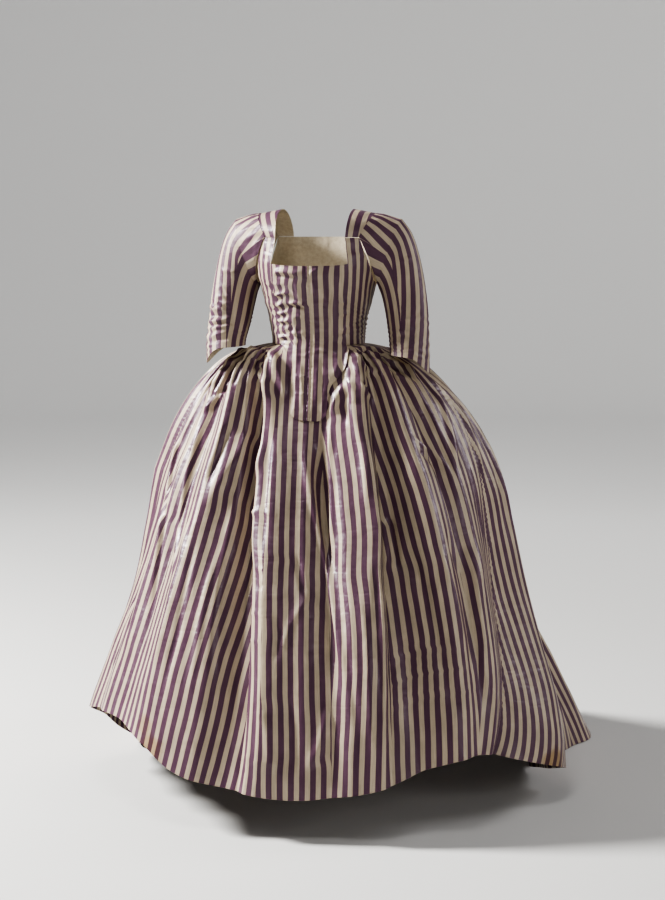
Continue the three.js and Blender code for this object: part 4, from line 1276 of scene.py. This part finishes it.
# %% Straps
STRAP_COLUMNS, STRAP_CELLS = 14, 60
STRAP_INNER_FLARE, STRAP_OUTER_SAG = 4.0, 10


def yoke_point(azimuth, count):
    return torso_point(np.full(count, azimuth), np.full(count, YOKE_HEIGHT))


def strap_edge(front_azimuth, back_azimuth_at, flare, turn):
    front, back = yoke_point(front_azimuth, len(turn)), yoke_point(back_azimuth_at, len(turn))
    swing = np.sin(np.pi * turn)
    point = mix(front, back, ((1 - np.cos(np.pi * turn)) / 2)[:, None])
    point[:, 0] += flare * swing
    point[:, 2] += SEAM + STRAP_RISE * swing
    return point


def strap_point(share, turn):
    seam_front, seam_back = float(front_seam(YOKE)[0]), float(back_seam(YOKE)[0])
    neck = strap_edge(seam_front, STRAP_BACK_INNER, STRAP_INNER_FLARE, turn)
    outer = strap_edge(STRAP_OUTER, seam_back, STRAP_FLARE, turn)
    outer[:, 2] -= STRAP_OUTER_SAG * np.sin(np.pi * turn)
    return mix(neck, outer, share[:, None])


for side, sign in SIDES:
    share, turn = np.meshgrid(np.linspace(0, 1, STRAP_COLUMNS), np.linspace(1, 0, STRAP_CELLS))
    strap = strap_point(share.ravel(), turn.ravel()).reshape(STRAP_CELLS, STRAP_COLUMNS, 3)
    strap = strap * np.array([sign, 1, 1])
    strap = strap if sign > 0 else strap[:, ::-1]
    detail = 0.4 * uneven(strap, (14, 14, 14), 55)
    body_piece(f"shoulder_strap_{side}", strap, detail, count_from(strap, 0), BODICE_SILK)

# %% Sleeve form
ARMHOLE_LAP, CAP_SHARE, ELBOW_DROP = 2.4, 0.16, 32.0
SLEEVE_CELLS, UPPER_COLUMNS, UNDER_COLUMNS = 110, 76, 60
SLEEVE_SEAM_TOP, SLEEVE_SEAM_HEM = 90.0, 106.0
SLEEVE_SHAPE = np.array([
    # outer point x, z, inner point x, z, half depth, forward
    [188, 276, 137, 124, 62, 0], [210, 246, 143, 110, 58, 2], [226, 205, 148, 92, 54, 6],
    [237, 155, 153, 70, 50, 14], [245, 105, 157, 47, 47, 25], [250, 60, 161, 25, 46, 38],
    [253, 18, 164, 8, 47, 51], [254, -12, 165, -4, 48, 60],
], float)
SLEEVES = [
    # side, sign, spread at the cuff, how much lower the cuff hangs
    ("left", 1, 6.0, 16.0), ("right", -1, -10.0, 0.0),
]


def torso_normal(azimuth, height):
    across = torso_point(azimuth + 1, height) - torso_point(azimuth - 1, height)
    down = torso_point(azimuth, height - 2) - torso_point(azimuth, height + 2)
    return unit(np.cross(down, across))


def armhole_point(round_at):
    turn = np.mod(round_at + 90, 360)
    high = strap_point(np.ones(len(turn)), 1 - np.minimum(turn, 180) / 180)
    away = unit(high * np.array([0, 1, 1]) - np.array([0, 0, YOKE_HEIGHT]))
    high = high + away * (ARMHOLE_LAP / 2 + WALL)
    share = mix(STRAP_SHARE, 1.0, np.clip((turn - 180) / 180, 0, 1))
    height = side_top(share)
    azimuth = side_azimuth(share, height)
    low = torso_point(azimuth, height) + torso_normal(azimuth, height) * (ARMHOLE_LAP + WALL)
    return np.where((turn <= 180)[:, None], high, low)


def sleeve_point(round_at, along, spread, lower):
    place = np.maximum((along - CAP_SHARE) / (1 - CAP_SHARE), 0)
    keys = np.linspace(0, 1, len(SLEEVE_SHAPE))
    size = [curve(keys, SLEEVE_SHAPE[:, k], place) for k in range(6)]
    outer = np.stack([size[0] + spread * place, 0 * place, size[1]], axis=-1)
    inner = np.stack([size[2] + spread * place, 0 * place, size[3]], axis=-1)
    turn = np.radians(round_at)
    point = mix(outer, inner, ((1 - np.cos(turn)) / 2)[:, None])
    point[:, 1] -= size[4] * np.sin(turn) + size[5]
    point[:, 2] -= lower * place + ELBOW_DROP * place ** 6 * np.maximum(0, np.cos(turn)) ** 2
    blend = np.sin(np.pi / 2 * np.clip(along / CAP_SHARE, 0, 1))[:, None]
    return mix(armhole_point(round_at), point, blend)


# %% Sleeve pieces
def sleeve_grid(sign, spread, lower, is_under):
    columns = UNDER_COLUMNS if is_under else UPPER_COLUMNS
    along = np.linspace(0, 1, SLEEVE_CELLS)[:, None]
    seam = mix(SLEEVE_SEAM_TOP, SLEEVE_SEAM_HEM, along)
    share = np.linspace(0, 1, columns)[None, :]
    turn = 1 - share if sign > 0 else share
    round_at = mix(seam, 360 - seam, turn) if is_under else mix(-seam, seam, turn)
    along = np.broadcast_to(along, round_at.shape)
    grid = sleeve_point(round_at.ravel(), along.ravel(), spread, lower)
    return grid.reshape(SLEEVE_CELLS, columns, 3) * np.array([sign, 1, 1]), round_at, along


SLEEVE_CREASES = {
    # (x, height) along the crease, height, width, lean if it has one
    "right": [
        ([(-241, 47), (-222, 50), (-203, 53), (-182, 54)], 4.0, 4.0),
        ([(-238, 38), (-215, 42), (-188, 43)], -3.0, 4.0),
        ([(-239, 69), (-224, 76), (-210, 79), (-190, 70)], 3.6, 4.6),
        ([(-236, 60), (-215, 63), (-190, 60)], -2.6, 4.0),
        ([(-232, 29), (-212, 37), (-195, 40), (-170, 34)], 3.6, 4.4),
        ([(-228, 14), (-210, 23), (-188, 25)], 3.0, 4.4),
        ([(-224, 4), (-206, 10), (-184, 12)], -2.4, 4.0),
        ([(-232, 88), (-199, 89), (-176, 88)], 2.6, 3.6),
        ([(-228, 102), (-206, 106), (-184, 104)], 1.6, 4.0),
        ([(-214, 160), (-195, 161), (-172, 158)], 2.2, 3.8),
        ([(-222, 124), (-200, 128), (-180, 125)], 1.2, 4.0),
    ],
    "left": [
        ([(188, 34), (215, 30), (240, 40)], 2.4, 4.0),
        ([(190, 24), (215, 20), (240, 28)], -2.0, 4.0),
        ([(188, 6), (214, 4), (240, 9)], 2.0, 3.6),
        ([(190, -8), (218, -12), (242, -17)], 2.2, 3.8),
        ([(190, 60), (212, 56), (236, 63)], 1.8, 4.0),
        ([(192, 84), (210, 82), (232, 88)], 1.2, 4.0),
        ([(186, 180), (200, 186), (217, 190)], 1.5, 4.0),
    ],
}
UNDER_ROUND = 48.0
BENDS = {"left": 1.0, "right": 2.0}
BENDS_COUNT, CAP_COUNT = 19, 21
LOOSE, CAP_PLEAT, SLEEVE_CREASED, SEAM_SUNK = 1.5, 0.9, 1.3, 1.7
WAY_STEP = 0.02


def sleeve_way(sign, spread, lower):
    """The direction of the sleeve's own line at every row; the stripes run along it."""
    along = np.maximum(np.linspace(0, 1, SLEEVE_CELLS), CAP_SHARE + 0.05)
    ends = [
        sleeve_point(np.full(SLEEVE_CELLS, side), np.minimum(along + shift, 1), spread, lower)
        for side in (60.0, 240.0) for shift in (-WAY_STEP, 0.0)
    ]
    way = unit((ends[1] - ends[0]) + (ends[3] - ends[2]))
    return (way * np.array([sign, 1, 1]))[:, None, :]


def sleeve_detail(grid, round_at, along, side, sign):
    """Heights of the elbow's wrinkles, the loose cloth, the gathered cap and the creases."""
    bend = smooth(along, 0.45, 0.72) * (1 - smooth(along, 0.93, 1.0))
    turn = 2 * np.pi * along * BENDS_COUNT + 3.2 * uneven(grid, (30, 30, 40), 61 + sign)
    patch = smooth(uneven(grid, (34, 34, 26), 63 + sign), -0.3, 0.8)
    bends = BENDS[side] * np.sin(turn) * patch * bend
    loose = LOOSE * uneven(grid, (40, 40, 70), 65 + sign) * smooth(along, 0.05, 0.25)
    cap = CAP_PLEAT * np.sin(np.radians(round_at) * CAP_COUNT) * (1 - smooth(along, 0.03, 0.14))
    creased = crease_heights(grid, SLEEVE_CREASES[side], on_front(grid))
    detail = (bends + loose + cap + SLEEVE_CREASED * creased) * smooth(along, 0.0, 0.02)
    return detail - SEAM_SUNK * (1 - smooth(along, 0.0, 0.035))


for side, sign, spread, lower in SLEEVES:
    for is_under in (False, True):
        grid, round_at, along = sleeve_grid(sign, spread, lower, is_under)
        if is_under:
            count = sign * np.radians(180 - round_at) * UNDER_ROUND
        else:
            middle = grid.shape[1] // 2
            way = sleeve_way(sign, spread, lower)
            drift = drift_of(grid, middle, way)
            count = count_from(grid, middle, way) + drift - drift[SLEEVE_CELLS // 2]
        part = "under" if is_under else "upper"
        detail = sleeve_detail(grid, round_at, along, side, sign)
        body_piece(f"sleeve_{part}_{side}", grid, detail, count, SLEEVE_SILK)

# %% [markdown]
# ## Tying the pieces to the frame
# Each shell rides on the gown's one body and stands for the node of its name.

# %% Ride and replace
for name, piece in PIECES.items():
    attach(piece, "root")
    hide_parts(name)

# %% [markdown]
# ## Floor and light
# A pale round floor sweeps up into a pale wall on every side, so the gown can be walked round.
# One soft light stands high on the wearer's right and rakes across the folds. Three weak ones
# fill the shade. The paper glows a little to the eye only, so the far wall stays pale without
# adding light to the silk.

# %% Floor sweep
FLOOR = -WAIST_HEIGHT / 1000
# right and away are seen by someone who stands a little to the wearer's left of the front
TURN = math.radians(10.5)
RIGHT_WAY = np.array([math.cos(TURN), math.sin(TURN), 0.0])
AWAY = np.array([-math.sin(TURN), math.cos(TURN), 0.0])
FLAT_REACH, BEND, WALL_TOP = 8.6, 2.2, 8.0
ROUND_STEPS, BEND_STEPS = 96, 14
profile = [(0.05, 0.0), (FLAT_REACH, 0.0)] + [
    (FLAT_REACH + BEND * math.sin(a), BEND - BEND * math.cos(a))
    for a in np.linspace(0.1, math.pi / 2, BEND_STEPS)
] + [(FLAT_REACH + BEND, WALL_TOP)]
ring_angles = np.linspace(0, 2 * math.pi, ROUND_STEPS, endpoint=False)
sweep_points = [
    (reach * math.sin(a), reach * math.cos(a), FLOOR + height)
    for reach, height in profile for a in ring_angles
]
sweep_faces = [
    (i + j, i + (j + 1) % ROUND_STEPS, i + ROUND_STEPS + (j + 1) % ROUND_STEPS, i + ROUND_STEPS + j)
    for i in range(0, (len(profile) - 1) * ROUND_STEPS, ROUND_STEPS) for j in range(ROUND_STEPS)
]
sweep_faces.append(tuple(reversed(range(ROUND_STEPS))))
sweep_mesh = bpy.data.meshes.new("studio sweep")
sweep_mesh.from_pydata(sweep_points, [], sweep_faces)
sweep_mesh.polygons.foreach_set("use_smooth", [True] * (len(sweep_faces) - 1) + [False])
sweep = into_scene("studio_sweep", sweep_mesh)
paper, paper_tree, paper_shader = new_material("pale paper", {
    "Base Color": (0.64, 0.64, 0.63, 1), "Roughness": 0.9,
    "Emission Color": (1.0, 0.99, 0.98, 1),
})
seen = paper_tree.nodes.new("ShaderNodeLightPath").outputs["Is Camera Ray"]
from_middle = paper_tree.nodes.new("ShaderNodeVectorMath")
from_middle.operation = "LENGTH"
paper_place = paper_tree.nodes.new("ShaderNodeTexCoord").outputs["Object"]
feed(paper_tree, from_middle.inputs[0], paper_place)
far_off = ramp_node(paper_tree, from_middle.outputs["Value"], 1.4, 4.5, 0.02, 0.3)
glow = math_node(paper_tree, "MULTIPLY", seen, far_off)
feed(paper_tree, paper_shader["Emission Strength"], glow)
sweep_mesh.materials.append(paper)
print("floor and wall", len(sweep_faces), "faces")

# %% Lights
CHEST = Vector((0, 0, -0.25))
LIGHTS = [
    # name, metres right, away and above the floor, size, power, colour
    ("key", -3.4, 0.3, 3.0, 0.9, 430, (1.0, 0.985, 0.96)),
    ("fill", 3.2, -2.6, 1.8, 1.4, 24, (1.0, 0.99, 0.98)),
    ("rim", 3.6, 0.9, 2.3, 1.6, 40, (1.0, 0.98, 1.0)),
    ("top", -0.4, -2.0, 4.3, 1.3, 32, (1.0, 0.98, 0.96)),
]
AIR_COLOUR, AIR_STRENGTH = (0.85, 0.85, 0.86, 1), 0.055
for name, right, away, height, size, power, colour in LIGHTS:
    light = bpy.data.lights.new(name, "AREA")
    light.shape, light.size, light.energy, light.color = "DISK", size, power, colour
    lamp = into_scene(name, light)
    spot = RIGHT_WAY * right + AWAY * away
    lamp.location = (spot[0], spot[1], FLOOR + height)
    lamp.rotation_euler = (CHEST - lamp.location).to_track_quat("-Z", "Y").to_euler()
world = bpy.data.worlds.new("studio air")
world.use_nodes = True
world.node_tree.nodes["Background"].inputs[0].default_value = AIR_COLOUR
world.node_tree.nodes["Background"].inputs[1].default_value = AIR_STRENGTH
bpy.context.scene.world = world
bpy.context.scene.view_settings.look = "AgX - High Contrast"
print(len(LIGHTS), "lights")

# %% [markdown]
# ## The camera
# The camera stands a little to the wearer's left of the front and looks slightly down.

# %% Camera
CAMERA_LENS, CAMERA_SENSOR = 80.0, 36.0
CAMERA_DISTANCE, CAMERA_RIGHT, CAMERA_HEIGHT, CAMERA_SLOPE = 4.5, 0.031, 0.283, 0.117
camera_data = bpy.data.cameras.new("camera")
camera_data.lens, camera_data.sensor_width = CAMERA_LENS, CAMERA_SENSOR
camera = into_scene("camera", camera_data)
spot = AWAY * -CAMERA_DISTANCE + RIGHT_WAY * CAMERA_RIGHT
camera.location = (spot[0], spot[1], CAMERA_HEIGHT)
tilt = math.atan(CAMERA_SLOPE)
look = Vector(AWAY * math.cos(tilt)) - Vector((0, 0, math.sin(tilt)))
camera.rotation_euler = look.to_track_quat("-Z", "Y").to_euler()
bpy.context.scene.camera = camera
print("camera at", [round(v, 3) for v in camera.location])
